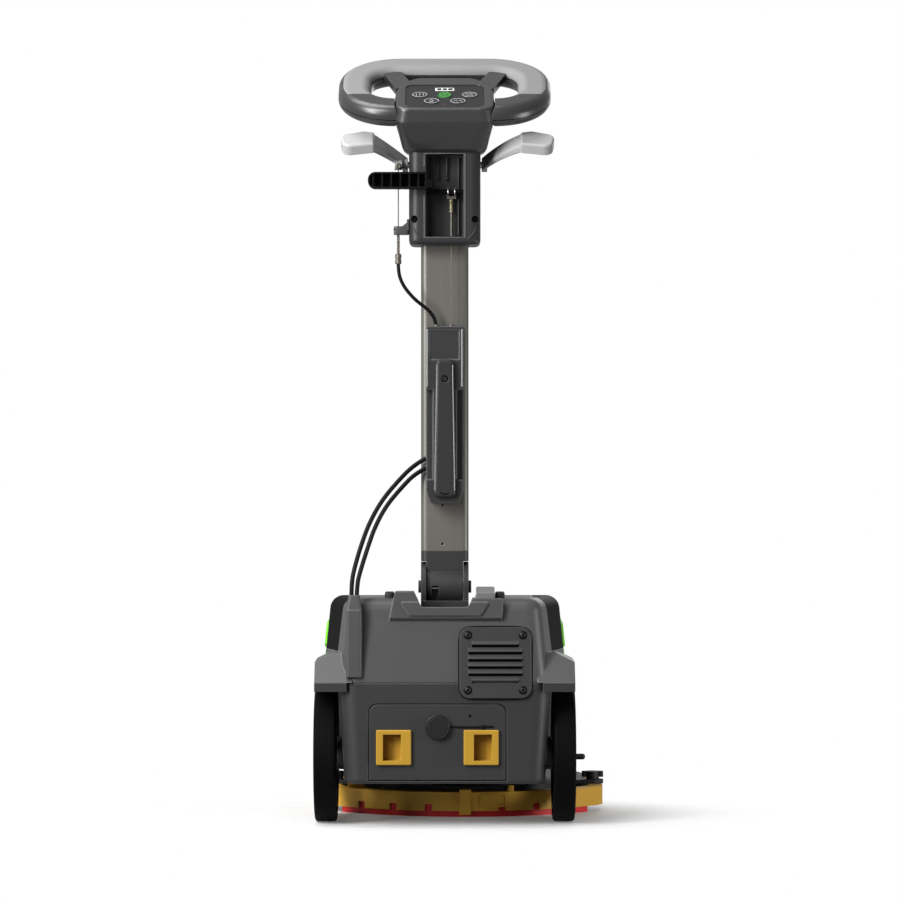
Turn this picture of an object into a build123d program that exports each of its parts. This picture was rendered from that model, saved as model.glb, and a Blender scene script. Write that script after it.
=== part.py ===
from build123d import *
from math import cos, pi, radians, sin, sqrt, tan
import os

# A walk-behind disc floor scrubber: a low carriage on two wheels, a round brush in a
# squeegee ring, and an upright column that carries the steering loop and its console.
# Modelled from the column's middle plane and the wheel axle, X to the operator's right,
# Y forward, Z up, floor at zero, then moved so that the origin is the brush axis.

# Clearances and walls
GAP = 0.3
RUN_FIT = 0.05
SEAM = 0.5
WALL = 4.0
SHELL = 3.5

# Wheels and axle stubs
WHEEL_R = 100.0
WHEEL_W = 32.0
ARCH_GAP = 4.0
TYRE_DEPTH = 19.0
TYRE_SHOULDER = 4.0
AXLE_R = 7.5
AXLE_BOSS_R = 24.0

# Lower body tub
REAR_Y = -108.0
BODY_Z = 64.0
SEAM_Z = 210.0
TUB_HALF = 154.0
TUB_DRAFT = 9.0
FLARE_HALF = TUB_HALF + 24
ARCH_FRONT_Y = 112.0
FLARE_RUN = 23.0
SHOULDER_Y = 250.0
NOSE_HALF = 95.0
NOSE_Y = 400.0
REAR_CORNER_R = 25.0
SHOULDER_R = 150.0
NOSE_R = 80.0
BAY_WALL_X = TUB_HALF - 28

# Upper body
ROOF_Z = 331.0
UPPER_REAR_HALF = TUB_HALF - 8
UPPER_SIDE_HALF = TUB_HALF + 26
UPPER_TAPER = 12.0
REAR_LEAN = 14.0
ROOF_R = 20.0
ROOF_FALL = 3.5
TANK_TOP = 301.0
TANK_ROOF_R = 14.0
SEAM_GROOVE = 1.2
SPLIT_Y = 22.0
BAND_Y = -52.0
BAND_X = UPPER_REAR_HALF - 18
FENDER_SET = 2.0
FENDER_OVERHANG = 4.0
FENDER_RIM = 13.0
FENDER_RISE = 42.0
FENDER_CREST = 28.0
FENDER_DROP = 13.5
FENDER_SLOPE = 38.0
FENDER_LENGTH = 216.0

# Saddle round the column
SADDLE_HALF = 78.0
SADDLE_Y = -103.5
SADDLE_DEPTH = 32.0
EAR_RISE = 10.0
EAR_W = 27.0
NOTCH_Z = 318.5
NOTCH_HALF = 34.0
NOTCH_FLARE = 11.0
LIP_PROUD = 2.5
LIP_H = 12.0

# Vent plate
VENT_W = 104.0
VENT_H = 103.0
VENT_X = 73.0
VENT_Z = 238.5
VENT_R = 15.0
VENT_PROUD = 3.0
VENT_BORE = 39.6
SCREW_R = 5.0
LOUVRES = 6
LOUVRE_PITCH = 10.4
LOUVRE_W = 78.0
LOUVRE_SLOT = 4.2
LOUVRE_HOOD = 5.0

# Cable duct and boot
DUCT_X = -130.5
DUCT_W = 23.0
DUCT_Y = -113.0
DUCT_Z0 = 218.0
DUCT_Z1 = 314.5
BOOT_H = 21.5
BOOT_TOP_W = 16.0
LEAD_R = 3.2

# Column and its hinge
PIVOT_Y = -20.0
PIVOT_Z = 345.0
PIN_R = 6.0
KNUCKLE_R = 30.0
CHEEK_R = 36.5
CHEEK_T = 7.5
COLUMN_W = 69.5
COLUMN_D = 40.0
COLUMN_WALL = 2.5
COLUMN_R = 9.0
COLUMN_Z0 = 398.0
COLUMN_Z1 = 905.0
SLEEVE_H = 15.5
HOLE_R = 2.1
HOLE_X = -3.5
HOLE_Z = 408.0
HOLE_PITCH = 57.0

# Junction box on the column
BOX_W = 54.0
BOX_D = 34.0
BOX_Z0 = 468.0
BOX_Z1 = 724.5
COVER_W = 32.0
COVER_D = 9.0
COVER_Z0 = 476.0
COVER_Z1 = 676.0
COVER_SCREW_Z = 648.0
BOX_HEAD = 92.0
BOX_FOOT = 34.0
LABEL_H = 43.0
LABEL_DROP = 5.5
LABEL_EDGE = 6.0
ROD_HOLE_R = 2.0
ROD_DEPTH = 60.0
LEAD_ZS = (533.0, 518.5)
LEAD_BACK = 8.5

# Neck
NECK_W = 104.0
NECK_REAR_Y = -74.0
NECK_FRONT_Y = 12.0
NECK_Z0 = 843.0
NECK_Z1 = 977.0
NECK_R = 14.0
RECESS_W = 54.0
RECESS_Z0 = 854.0
RECESS_Z1 = 974.0
RECESS_Y = -44.0
NECK_HOLE_X = 44.0
NECK_HOLE_Z = 879.5
NECK_HOLE_R = 5.2

# Steering loop and console
LOOP_TILT = 28.0
LOOP_Y = -96.0
LOOP_Z = 1030.0
LOOP_HALF = 131.0
LOOP_NEAR = 6.0
LOOP_FAR = 160.0
LOOP_W = 48.0
LOOP_T = 33.0
LOOP_CORNER = 14.0
LOOP_NEAR_R = 58.0
LOOP_FAR_R = 66.0
LOOP_SEAM = -3.0
PAD_SEAM = 5.0
PAD_START = 36.0
PAD_INSET = 7.0
CONSOLE_HALF = 73.5
CONSOLE_FAR_HALF = 50.0
CONSOLE_NEAR = -26.0
CONSOLE_FAR = 100.0
CONSOLE_TOP = 17.0
CHIN_W = 120.0
CHIN_R = 12.0
PANEL_W = 114.0
PANEL_NEAR = -17.0
PANEL_FAR = 70.0
PANEL_T = 2.4
PANEL_SINK = 1.2
KEY_W = 23.0
KEY_H = 19.0
KEY_T = 2.0
KEY_PROUD = 1.0
KEY_TRAVEL = 0.8
KEY_NAMES = ("power", "brush", "suction", "water", "speed")
KEYS = ((0, 32.5, True), (-36, 32.5, False), (36, 32.5, False), (-19, 9, False), (19, 9, False))
DISPLAY_Y = 55.0
DISPLAY_W = 29.0
DISPLAY_H = 13.0

# Paddles
SHAFT_R = 5.0
SHAFT_Y = -20.0
SHAFT_Z = 962.0
PADDLE_IN = 108.0
PADDLE_OUT = 156.0
PADDLE_T = 16.0
PADDLE_SET = 4.0
PADDLE_SHELL = 3.0
PADDLE_TILT = 35.0
PADDLE_DEPTH = 46.0
PADDLE_Y = -80.0
PADDLE_Z = 989.0
ARM_X = 58.0

# Release lever and the rod it lifts
LEVER_Y = -62.0
LEVER_Z = 920.0
LEVER_R = 3.5
LEVER_X0 = -111.0
LEVER_X1 = -26.0
LEVER_H = 24.0
LEVER_D = 20.0
LEVER_RIBS = 6
CRANK = 10.0
CRANK_PIN_R = 2.0
ROD_X = 9.7

# Bowden wire of the left paddle
WIRE_X = -67.5
WIRE_Y = -60.0
WIRE_R = 0.8
WIRE_Z1 = 957.0
BRACKET_Z = 864.0
FERRULE_R = 4.6
FERRULE_Z0 = 815.0
FERRULE_Z1 = 830.0
SHEATH_R = 2.6
SHEATH_END_X = -12.0
ADJUSTER_R = 2.2
ANCHOR_R = 5.5
ANCHOR_HOLE = 2.4

# Brush, deck and squeegee
BRUSH_X = 30.0
BRUSH_R = 174.0
BRISTLE_H = 20.0
DRIVER_T = 12.0
DECK_R = BRUSH_R + 12
DECK_T = 6.0
RING_HALF = DECK_R + 23
RING_REAR_R = RING_HALF + 55
RING_STRAIGHT = 6.0
RING_CLEAR = 5.5
RING_CORNER_R = 42.0
RING_Z0 = 9.0
RING_Z1 = 37.0
RING_WALL = 14.0
DECK_CLEAR = 1.5
BLADE_T = 4.0
BLADE_IN = 5.0
BLADE_H = 22.0
NOTCH_W = 11.5
NOTCH_H = 10.0
RING_NOTCHES = 7
KNOB_R = 16.5
KNOB_H = 12.0
KNOB_BACK = 65.0
STUD_R = 4.0
MOTOR_SHAFT_R = 9.0

# Battery drawer
DOOR_X = -10.5
DOOR_W = 197.0
DOOR_Z0 = 69.5
DOOR_Z1 = 179.0
DOOR_R = 13.0
DOOR_T = 6.0
BATTERY_Y1 = 100.0
LATCH_W = 50.5
LATCH_OFFSET = 63.0
LATCH_Z = 116.8
LATCH_T = 5.0
LATCH_TRAVEL = 8.0
POCKET_W = 26.0
POCKET_H = 38.0
POCKET_D = 15.0
CAP_R = 17.8
CAP_T = 7.0
CAP_Z = 146.3
PLUG_R = 12.0
PLUG_L = 11.0
STRAP_X = 70.0

# Motors and tanks
BRUSH_MOTOR_R = 48.0
BRUSH_MOTOR_TOP = 185.0
SUCTION_R = 45.0
SUCTION_X = 98.0
SUCTION_L = 84.0
BRIDGE_T = 4.0
BRIDGE_Z = 183.0
TANK_WALL = 3.0
TANK_FLOOR_Z = 211.0
LID_HALF = 86.0
LID_Y0 = 44.0
LID_Y1 = 330.0
LID_RISE = 10.0
HINGE_R = 5.0
HINGE_PIN_R = 2.0
HINGE_HALF = 34.0
HINGE_LUG = 8.0
PIPE_LEFT = 164.0
PIPE_BACK = 126.0
PIPE_R = 13.0
FILLER_R = 25.0
FILLER_Z = 160.0
FILLER_H = 16.0
DRAIN_Y = 178.0
DRAIN_Z = 79.0
DRAIN_R = 4.5
DRAIN_REACH = 35.0

FRONT = (0, 1, 0)
WHEEL_IN = TUB_HALF + ARCH_GAP
HALF_TRACK = WHEEL_IN + WHEEL_W
FENDER_REACH = HALF_TRACK - FENDER_SET

# The ring stands just clear of the tyre's front, and the brush stands in the ring
tyre_front = sqrt(WHEEL_R ** 2 - (WHEEL_R - RING_Z1) ** 2)
ring_sagitta = RING_REAR_R - sqrt(RING_REAR_R ** 2 - (WHEEL_IN - BRUSH_X) ** 2)
RING_REAR = round(tyre_front + RING_CLEAR - ring_sagitta)
BRUSH_Y = RING_REAR + RING_HALF + RING_STRAIGHT
DECK_Z = RING_Z1
FLANGE_W = RING_HALF - DECK_R - DECK_CLEAR - (RING_WALL - 1)
KNOB_Y = BRUSH_Y - KNOB_BACK
KNOB_REACH = RING_HALF - RING_WALL
PIPE_X = BRUSH_X - PIPE_LEFT
PIPE_Y = BRUSH_Y - PIPE_BACK
DRAIN_TIP = FLARE_HALF + DRAIN_REACH
column_rear_y = PIVOT_Y - COLUMN_D / 2
ROD_Y = LEVER_Y + CRANK
LEAD_EXIT_Y = column_rear_y - LEAD_BACK


def slab(x0, x1, y0, y1, z0, z1):
    """A block between two corners."""
    return Pos((x0 + x1) / 2, (y0 + y1) / 2, (z0 + z1) / 2) * Box(x1 - x0, y1 - y0, z1 - z0)


def rod(radius, start, end):
    """A round bar from one point to another."""
    line = Vector(*end) - Vector(*start)
    along = Plane(origin=start, z_dir=line)
    return along * Cylinder(radius, line.length, align=(Align.CENTER, Align.CENTER, Align.MIN))


def tube(outer, inner, start, end):
    """A round bar with a bore right through it."""
    return rod(outer, start, end) - rod(inner, start, end)


def outline(points, radii):
    """A closed flat outline with a rounded corner at each point."""
    return make_face(FilletPolyline(*points, radius=radii, close=True))


def rear_prism(points, radii, y0, y1):
    """An outline drawn in X and Z, as seen from behind, carried from y0 forward to y1."""
    face = Pos(0, y0, 0) * (Plane.XZ * outline(points, radii))
    return extrude(face, amount=y1 - y0, dir=FRONT)


def side_prism(points, x0, x1):
    """An outline drawn in Y and Z, as seen from the side, carried from x0 to x1."""
    face = Pos(x0, 0, 0) * (Plane.YZ * make_face(Polyline(*points, close=True)))
    return extrude(face, amount=x1 - x0, dir=(1, 0, 0))


def mirrored(shape):
    """The same piece on the other side of the machine."""
    return mirror(shape, about=Plane.YZ)


def one(shape):
    """The shape as one plain solid or group of solids."""
    solids = shape.solids()
    return solids[0] if len(solids) == 1 else Compound(children=list(solids))


# Lower body

def tub_plan(z, inset):
    """Plan of the tub at one height: narrow between the wheels, wider over the brush."""
    narrow = TUB_DRAFT * (SEAM_Z - z) / (SEAM_Z - BODY_Z)
    side = TUB_HALF - narrow - inset
    flare = FLARE_HALF - narrow - inset
    nose = NOSE_HALF - inset
    half = [(side, REAR_Y + inset), (side, ARCH_FRONT_Y), (flare, ARCH_FRONT_Y + FLARE_RUN),
            (flare, SHOULDER_Y), (nose, NOSE_Y - inset)]
    radii = [REAR_CORNER_R - inset, FLARE_RUN / 2, FLARE_RUN / 2, SHOULDER_R, NOSE_R]
    points = half + [(-x, y) for x, y in reversed(half)]
    return Pos(0, 0, z) * outline(points, radii + radii[::-1])


def tub_form(inset, z0, z1):
    return loft([tub_plan(z0, inset), tub_plan(z1, inset)], ruled=True)


def door_points(grow):
    half = DOOR_W / 2 + grow
    return [(DOOR_X - half, DOOR_Z0 - grow), (DOOR_X + half, DOOR_Z0 - grow),
            (DOOR_X + half, DOOR_Z1 + grow), (DOOR_X - half, DOOR_Z1 + grow)]


fender_y0 = REAR_Y - FENDER_OVERHANG
fender_y1 = fender_y0 + FENDER_LENGTH
tub_floor_z = BODY_Z + WALL
wheel_room = WHEEL_R + 6


def chassis_tub():
    """Moulded tub, open at the top, with wheel-arch rims, axle bosses and a battery bay."""
    outer = tub_form(0, BODY_Z, SEAM_Z)
    outer = fillet(outer.faces().sort_by(Axis.Z)[0].edges(), WALL + 2)
    tub = outer - tub_form(WALL, tub_floor_z, SEAM_Z + WALL)
    groove_z = SEAM_Z - SEAM_GROOVE
    tub -= tub_form(-1, groove_z, SEAM_Z + 1) - tub_form(SEAM_GROOVE, groove_z, SEAM_Z + 1)
    rim_in = TUB_HALF - REAR_CORNER_R / 2
    for side in (-1, 1):
        rim = slab(rim_in, FENDER_REACH, fender_y0, fender_y1, SEAM_Z - FENDER_RIM, SEAM_Z)
        rim -= slab(0, FENDER_REACH - WALL, fender_y0 + WALL, fender_y1 - WALL, 0, SEAM_Z + 1)
        rim -= rod(wheel_room, (WHEEL_IN, 0, WHEEL_R), (HALF_TRACK + WALL, 0, WHEEL_R))
        boss = rod(AXLE_BOSS_R, (BAY_WALL_X, 0, WHEEL_R), (WHEEL_IN - GAP, 0, WHEEL_R))
        boss -= rod(AXLE_R, (BAY_WALL_X - 1, 0, WHEEL_R), (WHEEL_IN, 0, WHEEL_R))
        ledge = slab(BAY_WALL_X + WALL, TUB_HALF - WALL / 2 - TUB_DRAFT / 4,
                     REAR_Y + REAR_CORNER_R, BATTERY_Y1, BRIDGE_Z - 2 * WALL, BRIDGE_Z)
        added = rim + boss + ledge
        tub += added if side > 0 else mirrored(added)
        bore = rod(AXLE_R, (BAY_WALL_X, 0, WHEEL_R), (WHEEL_IN, 0, WHEEL_R))
        tub -= bore if side > 0 else mirrored(bore)
    tub -= rear_prism(door_points(SEAM * 2), [1, 1, DOOR_R, DOOR_R], REAR_Y - 1, REAR_Y + WALL + 1)
    tub -= rod(MOTOR_SHAFT_R * 2, (BRUSH_X, BRUSH_Y, 0), (BRUSH_X, BRUSH_Y, tub_floor_z + 1))
    tub -= rod(PIPE_R + GAP, (PIPE_X, PIPE_Y, 0), (PIPE_X, PIPE_Y, tub_floor_z + 1))
    tub -= rod(DRAIN_R + GAP, (0, DRAIN_Y, DRAIN_Z), (HALF_TRACK, DRAIN_Y, DRAIN_Z))
    tub -= rod(FILLER_R - 3, (0, SHOULDER_Y, FILLER_Z), (0, NOSE_Y + 1, FILLER_Z))
    return tub


# Upper body

def upper_plan(z, inset):
    """Plan of the upper body at one height: narrow at the back, then flaring to its sides."""
    up = (z - SEAM_Z) / (ROOF_Z - SEAM_Z)
    taper = UPPER_TAPER * up + inset
    half = [(UPPER_REAR_HALF - taper, REAR_Y + REAR_LEAN * up + inset),
            (UPPER_SIDE_HALF - taper, SPLIT_Y), (UPPER_SIDE_HALF - taper + 1, SHOULDER_Y),
            (NOSE_HALF - taper * 0.7, NOSE_Y - taper)]
    radii = [REAR_CORNER_R, SHOULDER_R / 2, SHOULDER_R, NOSE_R]
    points = half + [(-x, y) for x, y in reversed(half)]
    return Pos(0, 0, z) * outline(points, radii + radii[::-1])


def upper_form(inset, z0, z1, roof_r):
    form = loft([upper_plan(z0, inset), upper_plan(z1, inset)], ruled=True)
    return fillet(form.faces().sort_by(Axis.Z)[-1].edges(), roof_r)


def rear_wall_y(z):
    return REAR_Y + REAR_LEAN * (z - SEAM_Z) / (ROOF_Z - SEAM_Z)


upper_outer = upper_form(0, SEAM_Z, ROOF_Z, ROOF_R)
upper_inner = upper_form(SHELL, SEAM_Z - WALL, ROOF_Z - SHELL, ROOF_R - SHELL)
far = 5 * NOSE_Y
behind_split = slab(-far, far, -far, SPLIT_Y, 0, far)
fender_top_z = SEAM_Z + FENDER_RISE
ear_top = ROOF_Z + EAR_RISE


def band_region(grow):
    """The space of the two black corner bands above the fenders."""
    right = slab(BAND_X - grow, far, BAND_Y - grow, SPLIT_Y + 1, fender_top_z + 1 - grow, far)
    return right + mirrored(right)


def notch():
    """The U that the column leans back into."""
    top = NOTCH_HALF + NOTCH_FLARE
    points = [(-NOTCH_HALF, NOTCH_Z), (NOTCH_HALF, NOTCH_Z), (top, ear_top), (top, ear_top + WALL),
              (-top, ear_top + WALL), (-top, ear_top)]
    return rear_prism(points, [8, 8, 0, 0, 0, 0], SADDLE_Y - 2 * LIP_PROUD, SPLIT_Y + 1)


def fender():
    """The sloping top of the right wheel arch."""
    slope = [(fender_y0, SEAM_Z), (fender_y0 + FENDER_SLOPE, fender_top_z),
             (fender_y1 - FENDER_SLOPE, fender_top_z), (fender_y1, SEAM_Z)]
    top = side_prism(slope, UPPER_REAR_HALF - REAR_CORNER_R / 2, FENDER_REACH)
    crest = FENDER_REACH - FENDER_CREST
    fall = [(crest, fender_top_z), (FENDER_REACH, fender_top_z - FENDER_DROP),
            (far, fender_top_z - FENDER_DROP), (far, fender_top_z)]
    top -= rear_prism(fall, [0, 0, 0, 0], fender_y0 - 1, fender_y1)
    return top & behind_split


def rear_cover():
    """Upper rear cover: leaning back wall, fender tops, ears and lip round the column."""
    cover = upper_outer & behind_split
    cover += fender() + mirrored(fender())
    base = NOTCH_Z - 2.2 * LIP_H
    ear_in = NOTCH_HALF + NOTCH_FLARE
    ear_out = ear_in + EAR_W
    ears = [(-SADDLE_HALF - 3, base), (SADDLE_HALF + 3, base), (SADDLE_HALF + 7, ROOF_Z),
            (ear_out, ROOF_Z), (ear_in, ROOF_Z), (-ear_in + 1, ear_top),
            (-ear_out, ear_top), (-SADDLE_HALF, ROOF_Z - ROOF_R)]
    saddle = rear_prism(ears, [0, 0, 5, 0, 0, 0, 3, 0], SADDLE_Y, SADDLE_Y + SADDLE_DEPTH)
    wedge = [(SADDLE_Y - 1, base - 1), (SADDLE_Y - 1, base + LIP_H), (SADDLE_Y + LIP_H, base - 1)]
    saddle -= side_prism(wedge, -far, far)
    lip_out = NOTCH_HALF + LIP_H * 1.5
    lip = [(-lip_out, NOTCH_Z - LIP_H), (lip_out, NOTCH_Z - LIP_H),
           (lip_out + LIP_H, ROOF_Z - 5), (-lip_out - LIP_H, ROOF_Z - 5)]
    cover += saddle + rear_prism(lip, [5, 5, 2, 2], SADDLE_Y - LIP_PROUD, SADDLE_Y + LIP_PROUD)
    cover -= upper_inner & slab(-far, far, -far, SPLIT_Y + 1, 0, far)
    cover -= notch()
    well_half = NOTCH_HALF + NOTCH_FLARE
    cover -= slab(-well_half, well_half, SADDLE_Y + SADDLE_DEPTH, SPLIT_Y + 1, NOTCH_Z, far)
    cover -= slab(VENT_X - LOUVRE_W / 2, VENT_X + LOUVRE_W / 2, REAR_Y - WALL, REAR_Y + REAR_LEAN,
                  SEAM_Z + WALL, VENT_Z + VENT_BORE)
    cover -= band_region(SEAM)
    duct_half = DUCT_W / 2 - WALL
    cover -= slab(DUCT_X - duct_half, DUCT_X + duct_half, REAR_Y - WALL, REAR_Y + 2 * REAR_LEAN,
                  DUCT_Z1 - DUCT_W, DUCT_Z1 - WALL)
    return cover


def side_bands():
    """Black bands on the two rear corners, between the rear cover and the tank."""
    shell = (upper_outer & behind_split) - upper_inner
    bands = (shell & band_region(0)).solids().sort_by(Axis.X)
    return bands[0], bands[-1]


lean = Plane(origin=(VENT_X, rear_wall_y(VENT_Z), VENT_Z), x_dir=(1, 0, 0),
             z_dir=(0, -(ROOF_Z - SEAM_Z), REAR_LEAN))


def at_corners(reach):
    """The four corner places of a square pattern."""
    return [(x, z) for x in (-reach, reach) for z in (-reach, reach)]


def vent_grille():
    """Plate with four corner screw holes and six hooded louvres, on the leaning back wall."""
    plate = extrude(RectangleRounded(VENT_W, VENT_H, VENT_R), amount=VENT_PROUD)
    plate = chamfer(plate.faces().sort_by(Axis.Z)[-1].edges(), VENT_PROUD / 3)
    plate += extrude(RectangleRounded(VENT_W, VENT_H, VENT_R), amount=-2 * VENT_PROUD)
    for i in range(LOUVRES):
        row = ((LOUVRES - 1) / 2 - i) * LOUVRE_PITCH
        width = LOUVRE_W if 0 < i < LOUVRES - 1 else LOUVRE_W - LOUVRE_PITCH
        hood = [(row, VENT_PROUD), (row, 2 * VENT_PROUD), (row + LOUVRE_HOOD, VENT_PROUD)]
        plate += Pos(-width / 2, 0, 0) * extrude(
            Plane.YZ * make_face(Polyline(*hood, close=True)), amount=width, dir=(1, 0, 0))
        plate -= Pos(0, row - LOUVRE_SLOT / 2, 0) * Box(width, LOUVRE_SLOT, 8 * VENT_PROUD)
    for x, y in at_corners(VENT_BORE):
        plate -= Pos(x, y, 0) * Cylinder(SCREW_R / 2 + GAP, 8 * VENT_PROUD)
    return lean * plate - upper_outer - tub_form(0, BODY_Z, SEAM_Z)


duct_depth = rear_wall_y(DUCT_Z1) - DUCT_Y
lead_y = DUCT_Y + duct_depth / 2
lead_xs = (DUCT_X - LEAD_R - 0.6, DUCT_X + LEAD_R + 0.6)


def cable_duct():
    """Upright duct on the left of the back wall, with a tapered top round the two leads."""
    duct = slab(DUCT_X - DUCT_W / 2, DUCT_X + DUCT_W / 2, DUCT_Y, REAR_Y + REAR_LEAN,
                DUCT_Z0, DUCT_Z1)
    corners = duct.faces().sort_by(Axis.Y)[0].edges().filter_by(Axis.Z)
    duct = fillet(corners, WALL)
    duct -= upper_outer + mirrored(fender())
    foot = Pos(DUCT_X, lead_y, DUCT_Z1) * RectangleRounded(DUCT_W, duct_depth - 1, WALL)
    top = Pos(DUCT_X, lead_y, DUCT_Z1 + BOOT_H) * RectangleRounded(
        BOOT_TOP_W, BOOT_TOP_W * 0.7, WALL)
    duct += loft([foot, top], ruled=True)
    for x in lead_xs:
        duct -= rod(LEAD_R + GAP, (x, lead_y, DUCT_Z1 - DUCT_W), (x, lead_y, far))
    return duct


def tank_button():
    """Light wedge-shaped release button on the right ear."""
    x0 = NOTCH_HALF + NOTCH_FLARE + GAP
    wedge = [(SADDLE_Y, ROOF_Z + GAP), (SADDLE_Y, ROOF_Z + EAR_RISE - 2),
             (SADDLE_Y + SADDLE_DEPTH, ROOF_Z + 1.6 * EAR_RISE),
             (SADDLE_Y + SADDLE_DEPTH, ROOF_Z + GAP)]
    button = side_prism(wedge, x0, x0 + EAR_W)
    return fillet(button.edges().filter_by(lambda e: abs((e % 0).Z) > 0.2), 2)


# Column hinge

fork_half = COLUMN_W / 2
cheek_in = fork_half - CHEEK_T
foot_z = NOTCH_Z - 5 * WALL
pivot = (0, PIVOT_Y, PIVOT_Z)


def across(x, y, z):
    return ((-x, y, z), (x, y, z))


def column_foot():
    """Cast fork: base plate, two round-topped cheeks and the stop bar behind them."""
    base_half = fork_half + CHEEK_T
    foot = slab(-base_half, base_half, PIVOT_Y - CHEEK_R - CHEEK_T, PIVOT_Y + CHEEK_R,
                foot_z, foot_z + WALL)
    cheek = rod(CHEEK_R, (cheek_in, PIVOT_Y, PIVOT_Z), (fork_half, PIVOT_Y, PIVOT_Z))
    cheek += slab(cheek_in, fork_half, PIVOT_Y - CHEEK_R, PIVOT_Y + CHEEK_R, foot_z, PIVOT_Z)
    foot += cheek + mirrored(cheek)
    bar_y = PIVOT_Y - CHEEK_R
    foot += slab(-fork_half, fork_half, bar_y - CHEEK_T, bar_y, foot_z, NOTCH_Z + CHEEK_T)
    return foot - rod(PIN_R, *across(fork_half + 1, PIVOT_Y, PIVOT_Z))


def pivot_pin():
    """Steel hinge pin with two flat heads."""
    pin = rod(PIN_R, *across(fork_half, PIVOT_Y, PIVOT_Z))
    for x0, x1 in ((-fork_half - WALL, -fork_half), (fork_half, fork_half + WALL)):
        pin += rod(PIN_R * 1.5, (x0, PIVOT_Y, PIVOT_Z), (x1, PIVOT_Y, PIVOT_Z))
    return pin


def column_section(inset):
    return RectangleRounded(COLUMN_W - 2 * inset, COLUMN_D - 2 * inset, COLUMN_R - inset)


def column_knuckle():
    """Knuckle between the cheeks, with the sleeve and the plug of the column's foot."""
    half = cheek_in - GAP
    knuckle = rod(KNUCKLE_R, *across(half, PIVOT_Y, PIVOT_Z))
    knuckle += slab(-half, half, PIVOT_Y - COLUMN_D / 2, PIVOT_Y + COLUMN_D / 2,
                    PIVOT_Z, COLUMN_Z0)
    sleeve_z = COLUMN_Z0 - SLEEVE_H
    at_sleeve = Pos(0, PIVOT_Y, sleeve_z)
    knuckle += at_sleeve * extrude(column_section(0), amount=SLEEVE_H)
    knuckle += at_sleeve * extrude(column_section(COLUMN_WALL), amount=3 * SLEEVE_H)
    slot_z = PIVOT_Z - KNUCKLE_R
    knuckle -= slab(-19, -9, PIVOT_Y - KNUCKLE_R - 1, PIVOT_Y - PIN_R - 2 * WALL,
                    slot_z, PIVOT_Z + 2)
    return knuckle - rod(PIN_R + RUN_FIT, *across(half + 1, PIVOT_Y, PIVOT_Z))


def column_tube():
    """Extruded column with two accessory holes low in its rear face."""
    column = extrude(column_section(0) - column_section(COLUMN_WALL), amount=COLUMN_Z1 - COLUMN_Z0)
    column = Pos(0, PIVOT_Y, COLUMN_Z0) * column
    for i in range(2):
        z = HOLE_Z + i * HOLE_PITCH
        column -= rod(HOLE_R, (HOLE_X, PIVOT_Y - COLUMN_D, z), (HOLE_X, PIVOT_Y, z))
    return column


def column_stand():
    """Welded stand under the fork: hollow pedestal on a plate across the battery bay."""
    half = fork_half + CHEEK_T
    y0 = PIVOT_Y - CHEEK_R - CHEEK_T
    y1 = PIVOT_Y + CHEEK_R
    plate_z = BRIDGE_Z + BRIDGE_T
    stand = slab(-half, half, y0, y1, plate_z, foot_z)
    stand -= slab(-half + WALL, half - WALL, y0 + WALL, y1 - WALL, BRIDGE_Z, foot_z - WALL)
    plate_half = TUB_HALF - WALL - TUB_DRAFT * (SEAM_Z - BRIDGE_Z) / (SEAM_Z - BODY_Z) - SEAM
    return stand + slab(-plate_half, plate_half, REAR_Y + REAR_CORNER_R, BATTERY_Y1,
                        BRIDGE_Z, plate_z)


# Wheels

def stub_axles():
    """Two steel stubs pressed into the tub's bosses."""
    stub = rod(AXLE_R, (BAY_WALL_X, 0, WHEEL_R), (HALF_TRACK - 3, 0, WHEEL_R))
    return Compound(children=[one(stub), one(mirrored(stub))])


def wheel_tyre():
    """Solid tyre with rounded shoulders."""
    tyre = tube(WHEEL_R, WHEEL_R - TYRE_DEPTH, (WHEEL_IN, 0, WHEEL_R), (HALF_TRACK, 0, WHEEL_R))
    rims = [e for e in tyre.edges() if e.geom_type == GeomType.CIRCLE and e.radius > WHEEL_R - 1]
    return fillet(rims, TYRE_SHOULDER)


def wheel_rim():
    """Moulded rim: band, thin web with six openings, and a long hub."""
    axis_in = (WHEEL_IN, 0, WHEEL_R)
    axis_out = (HALF_TRACK, 0, WHEEL_R)
    band_r = WHEEL_R - TYRE_DEPTH
    hub_r = AXLE_R + 2 * WALL
    rim = tube(band_r, band_r - WALL, axis_in, axis_out)
    rim += rod(hub_r, axis_in, axis_out)
    mid = WHEEL_IN + WHEEL_W / 2
    web = rod(band_r - 1, (mid - WALL, 0, WHEEL_R), (mid + WALL, 0, WHEEL_R))
    hole_at = (band_r + hub_r) / 2
    for i in range(6):
        turn = radians(60 * i)
        y = hole_at * cos(turn)
        z = WHEEL_R + hole_at * sin(turn)
        web -= rod(hub_r, (WHEEL_IN, y, z), (HALF_TRACK, y, z))
    rim += web
    rim -= rod(AXLE_R + RUN_FIT, axis_in, (HALF_TRACK - 3 + RUN_FIT, 0, WHEEL_R))
    return rim


# Brush, deck and squeegee

def brush_axis(z):
    return (BRUSH_X, BRUSH_Y, z)


def brush_bristles():
    """The bristles of the brush, as one plain disc."""
    return rod(BRUSH_R, brush_axis(0), brush_axis(BRISTLE_H))


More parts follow.
